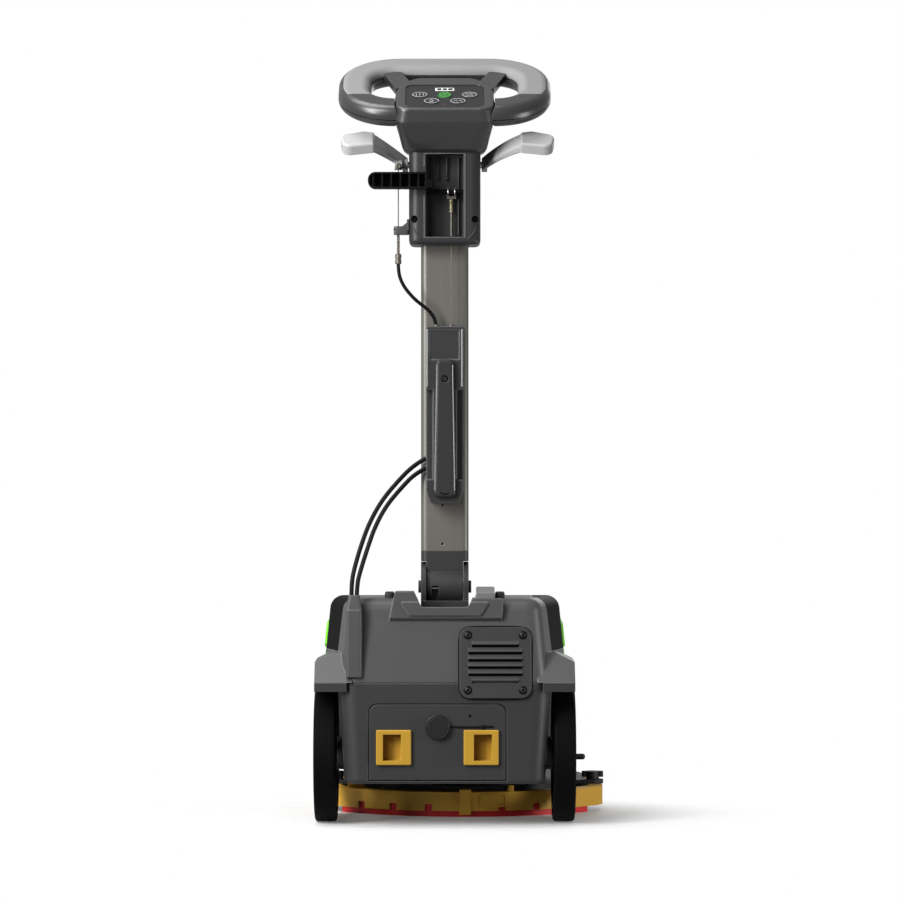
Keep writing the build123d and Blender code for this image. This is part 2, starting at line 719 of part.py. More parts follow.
def brush_driver():
    """Round driver plate with the hub that the motor shaft turns."""
    plate = rod(BRUSH_R, brush_axis(BRISTLE_H), brush_axis(BRISTLE_H + DRIVER_T))
    plate = fillet(plate.faces().sort_by(Axis.Z)[-1].edges(), DRIVER_T / 2)
    for i in range(6):
        turn = radians(60 * i)
        at = Pos(BRUSH_X + BRUSH_R * 0.55 * cos(turn), BRUSH_Y + BRUSH_R * 0.55 * sin(turn), 0)
        plate -= at * rod(BRUSH_R / 8, (0, 0, BRISTLE_H + DRIVER_T / 2), (0, 0, far))
    return plate - rod(MOTOR_SHAFT_R + RUN_FIT, brush_axis(BRISTLE_H), brush_axis(far))


def brush_deck():
    """Round deck over the brush, hung from the tub's floor, with ears for the ring."""
    deck = rod(DECK_R, brush_axis(DECK_Z), brush_axis(DECK_Z + DECK_T))
    deck += tube(DECK_R, DECK_R - DECK_T, brush_axis(RING_Z0 + NOTCH_H), brush_axis(DECK_Z + 1))
    deck += rod(BRUSH_MOTOR_R, brush_axis(DECK_Z), brush_axis(BODY_Z))
    ear = slab(0, KNOB_REACH, -KNOB_R, KNOB_R, DECK_Z, DECK_Z + DECK_T)
    ear += rod(KNOB_R, (KNOB_REACH, 0, DECK_Z), (KNOB_REACH, 0, DECK_Z + DECK_T))
    for side in (-1, 1):
        placed = Pos(BRUSH_X, KNOB_Y, 0) * (ear if side > 0 else mirrored(ear))
        deck += placed
        stud = (BRUSH_X + side * KNOB_REACH, KNOB_Y)
        deck -= rod(STUD_R + RUN_FIT, (*stud, 0), (*stud, far))
    return deck - rod(MOTOR_SHAFT_R + 1, brush_axis(0), brush_axis(far))


def ring_plan(inset):
    """Plan of the squeegee ring: a broad arc behind, straight sides, half a circle in front."""
    half = RING_HALF - inset
    front = Pos(BRUSH_X, BRUSH_Y) * Circle(half)
    arc = RING_REAR_R - inset
    centre_y = RING_REAR + RING_REAR_R
    back = Pos(BRUSH_X, BRUSH_Y / 2) * Rectangle(2 * half, BRUSH_Y)
    back = back & (Pos(BRUSH_X, centre_y) * Circle(arc))
    corners = back.vertices().sort_by(Axis.Y)[:2]
    back = fillet(corners, RING_CORNER_R - inset)
    return front + back


def ring_band(inset, width, z0, z1):
    band = extrude(ring_plan(inset) - ring_plan(inset + width), amount=z1 - z0)
    return Pos(0, 0, z0) * band


def squeegee_frame():
    """Yellow ring with a top flange, blade slots, suction spigot and castellated edge."""
    frame = ring_band(0, RING_WALL, RING_Z0, RING_Z1)
    frame += ring_band(RING_WALL - 1, FLANGE_W, RING_Z1 - WALL, RING_Z1)
    frame -= ring_band(BLADE_IN - GAP, BLADE_T + 2 * GAP, RING_Z0 - 1, BLADE_H + GAP)
    centre_y = RING_REAR + RING_REAR_R
    for i in range(RING_NOTCHES):
        turn = (i - (RING_NOTCHES - 1) / 2) * 12
        cut = slab(-NOTCH_W / 2, NOTCH_W / 2, -RING_REAR_R - 1, -RING_REAR_R + BLADE_IN,
                   RING_Z0 - 1, RING_Z0 + NOTCH_H)
        frame -= Pos(BRUSH_X, centre_y, 0) * (Rot(0, 0, turn) * cut)
    for i in range(2 * RING_NOTCHES):
        turn = i * 180 / (2 * RING_NOTCHES - 1)
        cut = slab(RING_HALF - BLADE_IN, RING_HALF + 1, -NOTCH_W / 2, NOTCH_W / 2,
                   RING_Z0 - 1, RING_Z0 + NOTCH_H)
        frame -= Pos(BRUSH_X, BRUSH_Y, 0) * (Rot(0, 0, turn) * cut)
    pipe_low = (PIPE_X, PIPE_Y, RING_Z1 - WALL)
    frame += rod(PIPE_R + WALL, pipe_low, (PIPE_X, PIPE_Y, RING_Z1))
    frame += rod(PIPE_R, pipe_low, (PIPE_X, PIPE_Y, tub_floor_z))
    frame -= rod(PIPE_R - 2, pipe_low, (PIPE_X, PIPE_Y, far))
    for side in (-1, 1):
        stud = (BRUSH_X + side * KNOB_REACH, KNOB_Y)
        frame += rod(2 * STUD_R, (*stud, RING_Z0 + NOTCH_H + 2), (*stud, RING_Z1))
        frame -= rod(STUD_R + RUN_FIT, (*stud, RING_Z1 - 3 * WALL), (*stud, far))
    return frame


blade_split = BRUSH_Y / 2


def rear_blade():
    """Rubber blade in the ring's rear slot, down to the floor."""
    band = ring_band(BLADE_IN, BLADE_T, 0, BLADE_H)
    return band & slab(-far, far, -far, blade_split, -1, far)


def front_blade():
    """Rubber blade round the front of the ring."""
    band = ring_band(BLADE_IN, BLADE_T, 0, BLADE_H)
    return band & slab(-far, far, BRUSH_Y + RING_WALL, far, -1, far)


def blade_clip():
    """Yellow clip that hooks over the ring's rear wall."""
    y = RING_REAR - SEAM
    hook = [(y, RING_Z0 - 5), (y, RING_Z1 + SEAM), (y + RING_WALL, RING_Z1 + SEAM),
            (y + RING_WALL, RING_Z1 + WALL), (y - WALL, RING_Z1 + WALL), (y - WALL, RING_Z0 - 5)]
    return side_prism(hook, BRUSH_X - NOTCH_W * 0.75, BRUSH_X + NOTCH_W * 0.75)


def squeegee_knob():
    """Wing knob with the stud that clamps the ring to the deck's ear, on its own axis."""
    z = DECK_Z + DECK_T + GAP
    knob = rod(KNOB_R * 0.6, (0, 0, z), (0, 0, z + KNOB_H))
    wing = slab(-KNOB_R, KNOB_R, -WALL, WALL, z + KNOB_H / 4, z + KNOB_H)
    knob += fillet(wing.edges().filter_by(Axis.Z), WALL - GAP)
    return knob + rod(STUD_R, (0, 0, RING_Z1 - 2 * WALL), (0, 0, z + 1))


# Motors, tanks and pipes

def brush_motor():
    """Gear motor over the brush, with its flange and output shaft."""
    motor = rod(BRUSH_MOTOR_R + 2 * WALL, brush_axis(tub_floor_z), brush_axis(tub_floor_z + 2 * WALL))
    motor += rod(BRUSH_MOTOR_R, brush_axis(tub_floor_z), brush_axis(BRUSH_MOTOR_TOP))
    motor = fillet(motor.faces().sort_by(Axis.Z)[-1].edges(), 2 * WALL)
    return motor + rod(MOTOR_SHAFT_R, brush_axis(BRISTLE_H + 1), brush_axis(tub_floor_z + 1))


def suction_motor():
    """Suction fan behind the vent: motor can and wider fan housing on the bridge plate."""
    z = BRIDGE_Z + BRIDGE_T + SUCTION_R
    y = REAR_Y + REAR_LEAN + 2 * WALL
    fan = rod(SUCTION_R, (SUCTION_X, y, z), (SUCTION_X, y + SUCTION_L / 2, z))
    fan += rod(SUCTION_R * 0.7, (SUCTION_X, y, z), (SUCTION_X, y + SUCTION_L, z))
    fan += slab(SUCTION_X - SUCTION_R / 2, SUCTION_X + SUCTION_R / 2, y, y + SUCTION_L / 2,
                BRIDGE_Z + BRIDGE_T, z)
    return fan


def solution_tank():
    """Blow-moulded clean-water tank round the brush motor, inside the tub's nose."""
    clear = WALL + 2
    y0 = BATTERY_Y1 + 3 * PIPE_R
    top = SEAM_Z - 2 * WALL
    tank = tub_form(clear, tub_floor_z, top) & slab(-far, far, y0, far, 0, far)
    room = BRUSH_MOTOR_R + 3 * WALL
    tank -= rod(room, brush_axis(0), brush_axis(far))
    inside = tub_form(clear + TANK_WALL, tub_floor_z + TANK_WALL, top - TANK_WALL)
    inside = inside & slab(-far, far, y0 + TANK_WALL, far, 0, far)
    inside -= rod(room + TANK_WALL, brush_axis(0), brush_axis(far))
    tank -= inside
    neck_r = FILLER_R - 3 - GAP
    tank += rod(neck_r, (0, NOSE_Y - 3 * WALL, FILLER_Z), (0, NOSE_Y + FILLER_H / 4, FILLER_Z))
    tank -= rod(neck_r - TANK_WALL, (0, NOSE_Y - 5 * WALL, FILLER_Z), (0, far, FILLER_Z))
    return tank - rod(DRAIN_R + GAP, (TUB_HALF, DRAIN_Y, DRAIN_Z), (far, DRAIN_Y, DRAIN_Z))


def filler_cap():
    """Ribbed screw cap of the clean-water tank, in the nose."""
    y = NOSE_Y + GAP
    cap = rod(FILLER_R, (0, y, FILLER_Z), (0, y + FILLER_H, FILLER_Z))
    cap = fillet(cap.faces().sort_by(Axis.Y)[-1].edges(), 3)
    for i in range(12):
        turn = radians(30 * i)
        at = (FILLER_R * cos(turn), FILLER_Z + FILLER_R * sin(turn))
        cap -= rod(1.5, (at[0], y - 1, at[1]), (at[0], y + FILLER_H - 3, at[1]))
    return cap - rod(FILLER_R - 3, (0, y - 1, FILLER_Z), (0, NOSE_Y + FILLER_H / 4 + GAP, FILLER_Z))


def drain_plug():
    """Round-ended drain plug on the right side, ahead of the wheel."""
    plug = rod(DRAIN_R, (FLARE_HALF - 8 * WALL, DRAIN_Y, DRAIN_Z), (DRAIN_TIP, DRAIN_Y, DRAIN_Z))
    plug = fillet(plug.faces().sort_by(Axis.X)[-1].edges(), DRAIN_R - 0.5)
    side = FLARE_HALF + GAP - TUB_DRAFT * (SEAM_Z - DRAIN_Z - DRAIN_R) / (SEAM_Z - BODY_Z)
    return plug + rod(2 * DRAIN_R, (side, DRAIN_Y, DRAIN_Z), (side + WALL, DRAIN_Y, DRAIN_Z))


roof_turn = Pos(0, SPLIT_Y, TANK_TOP) * Rot(-ROOF_FALL, 0, 0) * Pos(0, -SPLIT_Y, -TANK_TOP)
hinge_y = LID_Y1 + HINGE_R + 2 * GAP
hinge_z = TANK_TOP + HINGE_R + 2 * GAP


def lid_opening(grow, z0, z1):
    mid = (LID_Y0 + LID_Y1) / 2
    face = RectangleRounded(2 * (LID_HALF + grow), LID_Y1 - LID_Y0 + 2 * grow, 4 * WALL)
    return Pos(0, mid, z0) * extrude(face, amount=z1 - z0)


def tank_form(inset, z0):
    """The upper body under a roof that falls forward from the split."""
    roof = roof_turn * (Pos(0, 0, -inset) * upper_plan(TANK_TOP, inset))
    form = loft([upper_plan(z0, inset), roof], ruled=True)
    return fillet(form.faces().sort_by(Axis.Z)[-1].edges(), TANK_ROOF_R - inset)


def hinge_rod(radius, x0, x1):
    return rod(radius, (x0, hinge_y, hinge_z), (x1, hinge_y, hinge_z))


def recovery_tank():
    """Lift-off dirty-water tank that forms the front of the upper body."""
    tank = tank_form(0, SEAM_Z) & slab(-far, far, SPLIT_Y + 2 * GAP, far, TANK_FLOOR_Z, far)
    room = slab(-far, far, SPLIT_Y + TANK_WALL + WALL, far, TANK_FLOOR_Z + TANK_WALL, far)
    tank -= tank_form(TANK_WALL, SEAM_Z) & room
    tank -= roof_turn * lid_opening(-2 * WALL, TANK_TOP - 2 * WALL, far)
    lug_x = HINGE_HALF + 2 * GAP
    lug = hinge_rod(HINGE_R, lug_x, lug_x + HINGE_LUG)
    lug += slab(lug_x, lug_x + HINGE_LUG, hinge_y - HINGE_R, hinge_y + HINGE_R, TANK_TOP - 1, hinge_z)
    pin = hinge_rod(HINGE_PIN_R, -lug_x - 1, lug_x + 1)
    return tank + roof_turn * (lug + mirrored(lug) + pin)


def tank_lid():
    """Raised black lid of the recovery tank, with a stepped rim and its hinge barrel."""
    mid = (LID_Y0 + LID_Y1) / 2
    length = LID_Y1 - LID_Y0
    foot = Pos(0, mid, TANK_TOP + GAP) * RectangleRounded(2 * LID_HALF, length, 4 * WALL)
    crown = Pos(0, mid, TANK_TOP + LID_RISE) * RectangleRounded(
        2 * (LID_HALF - WALL), length - 2 * WALL, 3 * WALL)
    lid = loft([foot, crown], ruled=True)
    lid += lid_opening(-2 * WALL - 1, TANK_TOP - TANK_WALL, TANK_TOP + GAP)
    lid -= lid_opening(-3 * WALL, TANK_TOP - 2 * WALL, TANK_TOP + LID_RISE - TANK_WALL)
    lid += hinge_rod(HINGE_R, -HINGE_HALF, HINGE_HALF)
    lid += slab(-HINGE_HALF, HINGE_HALF, LID_Y1 - WALL, hinge_y, hinge_z - WALL, hinge_z)
    return roof_turn * (lid - hinge_rod(HINGE_PIN_R + RUN_FIT, -far, far))


# Battery drawer

door_back = REAR_Y + DOOR_T
case_front = door_back + POCKET_D + WALL


def latch_x(side):
    return DOOR_X + side * LATCH_OFFSET


def pocket_x(side):
    """The finger pocket stands a little outside the middle of its latch."""
    return latch_x(side) + side * 2.5


def battery_pack():
    """Battery pack: front plate with latch slots and charging socket, on the cell case."""
    pack = rear_prism(door_points(0), [1, 1, DOOR_R, DOOR_R], REAR_Y, door_back)
    pack = chamfer(pack.faces().sort_by(Axis.Y)[0].edges(), 1)
    half = DOOR_W / 2 - WALL
    x0 = DOOR_X - half
    x1 = DOOR_X + half
    case = slab(x0, x1, case_front, BATTERY_Y1, DOOR_Z0 - GAP, DOOR_Z1 - WALL)
    pack += fillet(case.edges().filter_by(Axis.Y), WALL)
    rib_z = LATCH_Z + POCKET_H / 2 + 2 * WALL
    for z in (rib_z, DOOR_Z0 + WALL):
        pack += slab(x0, x1, door_back - 1, case_front + 1, z, z + 2 * WALL)
    for side in (-1, 1):
        cup = POCKET_W / 2 + WALL / 2 + GAP
        slide = LATCH_TRAVEL + GAP
        slot_x0 = pocket_x(side) - cup - (slide if side > 0 else 0)
        slot_x1 = pocket_x(side) + cup + (slide if side < 0 else 0)
        half_h = POCKET_H / 2 + WALL / 2 + GAP
        pack -= slab(slot_x0, slot_x1, REAR_Y - 1, door_back + 1,
                     LATCH_Z - half_h, LATCH_Z + half_h)
    pack += rod(PLUG_R + WALL, (DOOR_X, door_back - 1, CAP_Z), (DOOR_X, case_front + 1, CAP_Z))
    return pack - rod(PLUG_R + GAP, (DOOR_X, REAR_Y - 1, CAP_Z), (DOOR_X, REAR_Y + PLUG_L + 1, CAP_Z))


def battery_latch(side):
    """Yellow sliding latch: a square plate with a finger pocket behind it."""
    x = latch_x(side)
    half = LATCH_W / 2
    back = REAR_Y - GAP
    points = [(x - half, LATCH_Z - half), (x + half, LATCH_Z - half),
              (x + half, LATCH_Z + half), (x - half, LATCH_Z + half)]
    latch = rear_prism(points, [2, 2, 2, 2], back - LATCH_T, back)
    latch = chamfer(latch.faces().sort_by(Axis.Y)[0].edges(), 1)
    px = pocket_x(side)
    cup_w = POCKET_W / 2 + WALL / 2
    cup_h = POCKET_H / 2 + WALL / 2
    latch += slab(px - cup_w, px + cup_w, back - 1, REAR_Y + POCKET_D, LATCH_Z - cup_h,
                  LATCH_Z + cup_h)
    return latch - slab(px - POCKET_W / 2, px + POCKET_W / 2, back - LATCH_T - 1,
                        REAR_Y + POCKET_D - WALL / 2, LATCH_Z - POCKET_H / 2,
                        LATCH_Z + POCKET_H / 2)


def charge_cap():
    """Rubber cap of the charging socket: a domed disc with a plug."""
    back = REAR_Y - GAP - GAP
    cap = rod(CAP_R, (DOOR_X, back, CAP_Z), (DOOR_X, back - CAP_T, CAP_Z))
    cap = fillet(cap.faces().sort_by(Axis.Y)[0].edges(), 2)
    cap -= tube(CAP_R - 2.6, CAP_R - 3.6, (DOOR_X, back - CAP_T - 1, CAP_Z),
                (DOOR_X, back - CAP_T + 1.5, CAP_Z))
    return cap + rod(PLUG_R, (DOOR_X, back - 1, CAP_Z), (DOOR_X, REAR_Y + PLUG_L, CAP_Z))


def cap_strap():
    """Thin rubber strap that keeps the cap on the door."""
    back = REAR_Y - GAP
    x0 = DOOR_X + CAP_R + GAP
    strap = slab(x0, STRAP_X, back - 1.6, back, CAP_Z - 1.5, CAP_Z + 1.5)
    nub = (STRAP_X - 15, CAP_Z)
    return strap + rod(3, (nub[0], back, nub[1]), (nub[0], back - 3, nub[1]))


# Junction box on the column

box_rear_y = column_rear_y - BOX_D


def junction_box():
    """Housing on the column's rear face: deep head, hollowed flanks and a narrow foot."""
    half = BOX_W / 2
    foot_half = half - 6
    points = [(-foot_half, BOX_Z0), (foot_half, BOX_Z0), (half, BOX_Z0 + 18), (half, BOX_Z1),
              (-half, BOX_Z1), (-half, BOX_Z0 + 18)]
    box = rear_prism(points, [4, 4, 8, 3, 3, 8], box_rear_y, column_rear_y)
    hollow_top = BOX_Z1 - BOX_HEAD
    hollow_low = BOX_Z0 + BOX_FOOT
    for side in (-1, 1):
        x = side * (COVER_W / 2 + 1)
        edge = side * (half + 1)
        box -= slab(min(x, edge), max(x, edge), box_rear_y - 1, box_rear_y + BOX_D / 2,
                    hollow_low, hollow_top)
    label_z1 = BOX_Z1 - LABEL_DROP
    box -= slab(-half + LABEL_EDGE, half - LABEL_EDGE, box_rear_y - 1, box_rear_y + 4 * GAP,
                label_z1 - LABEL_H, label_z1)
    box -= rod(ROD_HOLE_R, (ROD_X, ROD_Y, BOX_Z1 - ROD_DEPTH), (ROD_X, ROD_Y, far))
    box -= rod(SHEATH_R + 1, (SHEATH_END_X, ROD_Y, BOX_Z1 - 2 * WALL), (SHEATH_END_X, ROD_Y, far))
    for z in LEAD_ZS:
        box -= rod(LEAD_R + GAP, (-half - 1, LEAD_EXIT_Y, z), (0, LEAD_EXIT_Y, z))
    return box


def junction_cover():
    """Tapered rib-shaped cover on the box, with the counterbore of its screw."""
    half = COVER_W / 2
    narrow = half - 3
    points = [(-half, COVER_Z0), (half, COVER_Z0), (narrow, COVER_Z1 - 24), (narrow, COVER_Z1),
              (-narrow, COVER_Z1), (-narrow, COVER_Z1 - 24)]
    cover = rear_prism(points, [8, 8, 20, 6, 6, 20], box_rear_y - COVER_D, box_rear_y)
    cover = fillet(cover.faces().sort_by(Axis.Y)[0].edges(), COVER_D / 2)
    return cover - rod(SCREW_R + GAP, (0, box_rear_y - COVER_D - 1, COVER_SCREW_Z),
                       (0, box_rear_y - COVER_D / 2, COVER_SCREW_Z))


# Neck

def neck():
    """Hollow neck on the column's top, with the rear recess that the release rod runs in."""
    depth = NECK_FRONT_Y - NECK_REAR_Y
    mid_y = (NECK_FRONT_Y + NECK_REAR_Y) / 2
    body = Pos(0, mid_y, NECK_Z0) * extrude(
        RectangleRounded(NECK_W, depth, NECK_R), amount=NECK_Z1 - NECK_Z0)
    low = body.faces().sort_by(Axis.Z)[0].edges()
    body = fillet(low, NECK_R / 2)
    body -= Pos(0, PIVOT_Y, NECK_Z0 - 1) * extrude(
        column_section(-RUN_FIT), amount=COLUMN_Z1 - NECK_Z0 + 1)
    body -= slab(-RECESS_W / 2, RECESS_W / 2, NECK_REAR_Y - 1, RECESS_Y, RECESS_Z0, RECESS_Z1)
    body -= slab(-NECK_W / 2 + WALL, NECK_W / 2 - WALL, RECESS_Y + WALL, NECK_FRONT_Y - WALL,
                 COLUMN_Z1 + WALL, NECK_Z1 + 1)
    body -= rod(SHAFT_R + RUN_FIT, *across(NECK_W, SHAFT_Y, SHAFT_Z))
    body -= rod(LEVER_R + RUN_FIT, *across(RECESS_W / 2 + 2 * WALL, LEVER_Y, LEVER_Z))
    body -= slab(ROD_X - 5, ROD_X + 5, ROD_Y - 5, ROD_Y + 5, NECK_Z0 - 1, RECESS_Z0 + 1)
    for x in (-NECK_HOLE_X, NECK_HOLE_X):
        body -= rod(NECK_HOLE_R, (x, NECK_REAR_Y - 1, NECK_HOLE_Z), (x, NECK_REAR_Y + 8, NECK_HOLE_Z))
    return body


# Steering loop and console

grip = Plane(origin=(0, LOOP_Y, LOOP_Z), x_dir=(1, 0, 0),
             z_dir=(0, -sin(radians(LOOP_TILT)), cos(radians(LOOP_TILT))))


def loop_bar(grow):
    """The wide soft-edged bar of the steering loop, a closed rounded rectangle."""
    path = FilletPolyline((0, LOOP_NEAR), (LOOP_HALF, LOOP_NEAR), (LOOP_HALF, LOOP_FAR),
                          (-LOOP_HALF, LOOP_FAR), (-LOOP_HALF, LOOP_NEAR),
                          radius=[0, LOOP_NEAR_R, LOOP_FAR_R, LOOP_FAR_R, LOOP_NEAR_R], close=True)
    wire = Wire(path.edges())
    section = RectangleRounded(LOOP_W + 2 * grow, LOOP_T + 2 * grow, LOOP_CORNER + grow)
    return sweep(Plane(origin=wire @ 0, x_dir=(0, 1, 0), z_dir=wire % 0) * section, path=wire)


def console_plan(inset, z):
    half = [(CONSOLE_HALF - inset, CONSOLE_NEAR + inset), (CONSOLE_HALF - inset, CONSOLE_FAR / 2),
            (CONSOLE_FAR_HALF - inset, CONSOLE_FAR - inset)]
    points = half + [(-x, y) for x, y in reversed(half)]
    radii = [20, 30, 26]
    return Pos(0, 0, z) * outline(points, radii + radii[::-1])


def local_slab(z0, z1, y0=-far, y1=far):
    """A block in the loop's own plane, between two heights."""
    return slab(-far, far, y0, y1, z0, z1)


def strut():
    """Flat strut from a far corner of the console to the loop's far bar."""
    points = [(CONSOLE_FAR_HALF - 6, CONSOLE_FAR - 20), (CONSOLE_HALF - 2, CONSOLE_FAR / 2 + 22),
              (LOOP_HALF * 0.75, LOOP_FAR - 4), (LOOP_HALF * 0.55, LOOP_FAR - 4)]
    return extrude(make_face(Polyline(*points, close=True)), amount=10)


def panel_face(grow):
    near = PANEL_NEAR - grow
    far_edge = PANEL_FAR + grow
    face = RectangleRounded(PANEL_W + 2 * grow, far_edge - near, 14)
    return Pos(0, (near + far_edge) / 2, 0) * face


def pad_space(grow):
    """The space of the grip pad on the loop's sides and far bar, inside its outer edge."""
    inset = PAD_INSET - LOOP_W / 2 - grow
    half = LOOP_HALF - inset
    middle = (LOOP_NEAR + LOOP_FAR) / 2
    plan = RectangleRounded(2 * half, LOOP_FAR - LOOP_NEAR - 2 * inset, LOOP_FAR_R - inset)
    within = Pos(0, middle, PAD_SEAM - grow) * extrude(plan, amount=far)
    return within & local_slab(PAD_SEAM - grow, far, PAD_START - grow, far)


def handle_upper_shell():
    """Upper moulding: console top with the panel recess, struts and the loop's upper half."""
    shell = loop_bar(0) & local_slab(LOOP_SEAM + SEAM, far)
    shell -= loop_bar(1) & pad_space(SEAM)
    console = loft([console_plan(0, LOOP_SEAM + SEAM), console_plan(3, CONSOLE_TOP)], ruled=True)
    console = fillet(console.faces().sort_by(Axis.Z)[-1].edges(), 4)
    shell -= console_room()
    shell += console + strut() + mirrored(strut())
    shell -= extrude(panel_face(RUN_FIT * 4), amount=far) & local_slab(panel_floor, far)
    shell -= loop_bar(1) & pad_space(SEAM)
    shell -= loft([console_plan(WALL, LOOP_SEAM - 1), console_plan(WALL + 3, panel_floor - WALL)],
                  ruled=True)
    return grip * shell


def console_room():
    return extrude(console_plan(1, -far / 8), amount=far / 4)


panel_floor = CONSOLE_TOP - PANEL_SINK - PANEL_T


def handle_lower_shell():
    """Lower moulding: the loop's lower half and the console's chin, down to the neck."""
    bar = loop_bar(0) & local_slab(-far, LOOP_SEAM)
    bar -= console_room()
    seam = grip * console_plan(0, LOOP_SEAM)
    mid_y = (NECK_FRONT_Y + NECK_REAR_Y) / 2
    depth = NECK_FRONT_Y - NECK_REAR_Y
    foot = Pos(0, mid_y, NECK_Z1) * RectangleRounded(CHIN_W, depth + CHIN_R, CHIN_R * 2)
    chin = loft([foot, seam], ruled=True)
    chin = fillet(chin.faces().sort_by(Axis.Z)[0].edges(), CHIN_R)
    inner_seam = grip * console_plan(WALL, LOOP_SEAM + 1)
    inner_foot = Pos(0, mid_y, NECK_Z1 - 1) * RectangleRounded(
        NECK_W - 2 * WALL, depth - 2 * WALL, NECK_R - WALL)
    return grip * bar + chin - loft([inner_foot, inner_seam], ruled=True)


def grip_pad():
    """Soft light-grey pad over the loop's sides and far bar."""
    return grip * (loop_bar(0) & pad_space(0))


def control_panel():
    """Black panel plate in the console's recess, with holes for the keys and the display."""
    panel = extrude(panel_face(0), amount=PANEL_T)
    for x, y, green in KEYS:
        panel -= Pos(x, y, 0) * extrude(key_face(green, GAP / 2), amount=far)
    panel -= Pos(0, DISPLAY_Y, PANEL_T / 2) * extrude(Rectangle(DISPLAY_W, DISPLAY_H), amount=far)
    return grip * (Pos(0, 0, panel_floor) * panel)


def key_face(green, grow):
    width = KEY_W - 2 if green else KEY_W
    height = KEY_H + 3 if green else KEY_H
    return Ellipse(width / 2 + grow, height / 2 + grow)


def console_key(index):
    """One oval key, standing a little above the panel with room to travel below."""
    x, y, green = KEYS[index]
    top = PANEL_T + KEY_PROUD
    low = KEY_TRAVEL + GAP
    key = extrude(key_face(green, 0), amount=top - low)
    return grip * (Pos(x, y, panel_floor + low) * key)


# Paddles

def arm_section(x, y, z, width, thick, turn):
    """A rounded bar section facing along X, turned about X."""
    plane = Plane(origin=(x, y, z), x_dir=(0, cos(radians(turn)), sin(radians(turn))),
                  z_dir=(1, 0, 0))
    return plane * RectangleRounded(width, thick, thick * 0.3)


def paddle(side):
    """Moulded paddle: a tilted finger plate on a curved arm from the cross shaft."""
    tilt = PADDLE_TILT
    inner = PADDLE_IN + side * PADDLE_SET
    outer = PADDLE_OUT + side * PADDLE_SET
    arm = loft([
        arm_section(ARM_X - WALL, SHAFT_Y, SHAFT_Z, 20, PADDLE_T * 0.6, tilt + 30),
        arm_section(ARM_X + 22, SHAFT_Y - 26, SHAFT_Z + 16, 26, PADDLE_T * 0.75, tilt + 10),
        arm_section(inner, PADDLE_Y + 6, PADDLE_Z + 1, 34, PADDLE_T * 0.9, tilt),
    ])
    plate_plane = Plane(origin=(0, PADDLE_Y, PADDLE_Z),
                        x_dir=(1, 0, 0), z_dir=(0, -sin(radians(tilt)), cos(radians(tilt))))
    d = PADDLE_DEPTH / 2
    points = [(inner - 2, -d + 9), (outer - 6, -d), (outer, d - 12), (inner + 14, d), (inner - 2, d - 4)]
    plate = extrude(outline(points, [3, 12, 12, 10, 3]), amount=PADDLE_T / 2, both=True)
    plate = fillet(plate.faces().sort_by(Axis.Z)[-1].edges(), PADDLE_T / 5)
    hollow = extrude(offset(outline(points, [3, 12, 12, 10, 3]), -PADDLE_SHELL), amount=PADDLE_T)
    plate -= Pos(0, 0, -PADDLE_T) * hollow
    hub = rod(SHAFT_R * 2, (NECK_W / 2 + 2, SHAFT_Y, SHAFT_Z), (ARM_X + WALL, SHAFT_Y, SHAFT_Z))
    whole = arm + plate_plane * plate + hub
    whole -= rod(SHAFT_R, (0, SHAFT_Y, SHAFT_Z), (ARM_X, SHAFT_Y, SHAFT_Z))
    if side < 0:
        whole = mirrored(whole)
        lug = [(SHAFT_Y, SHAFT_Z - SHAFT_R), (SHAFT_Y, SHAFT_Z + 2 * SHAFT_R),
               (WIRE_Y, WIRE_Z1 + ANCHOR_R), (WIRE_Y, WIRE_Z1 - ANCHOR_R)]
        lug_x0 = WIRE_X - ANCHOR_R
        lug_x1 = WIRE_X + ANCHOR_R
        whole += side_prism(lug, lug_x0, lug_x1)
        whole += rod(ANCHOR_R, (lug_x0, WIRE_Y, WIRE_Z1), (lug_x1, WIRE_Y, WIRE_Z1))
        whole -= rod(ANCHOR_HOLE, (WIRE_X, WIRE_Y, 0), (WIRE_X, WIRE_Y, WIRE_Z1 + GAP))
    return whole


def paddle_shaft():
    """Cross shaft that joins the two paddles through the neck."""
    return rod(SHAFT_R, *across(ARM_X, SHAFT_Y, SHAFT_Z))


def paddle_wire():
    """Inner wire of the Bowden cable, from the left paddle to the sheath."""
    return rod(WIRE_R, (WIRE_X, WIRE_Y, FERRULE_Z0 + 1), (WIRE_X, WIRE_Y, WIRE_Z1))


# Release lever and its rod

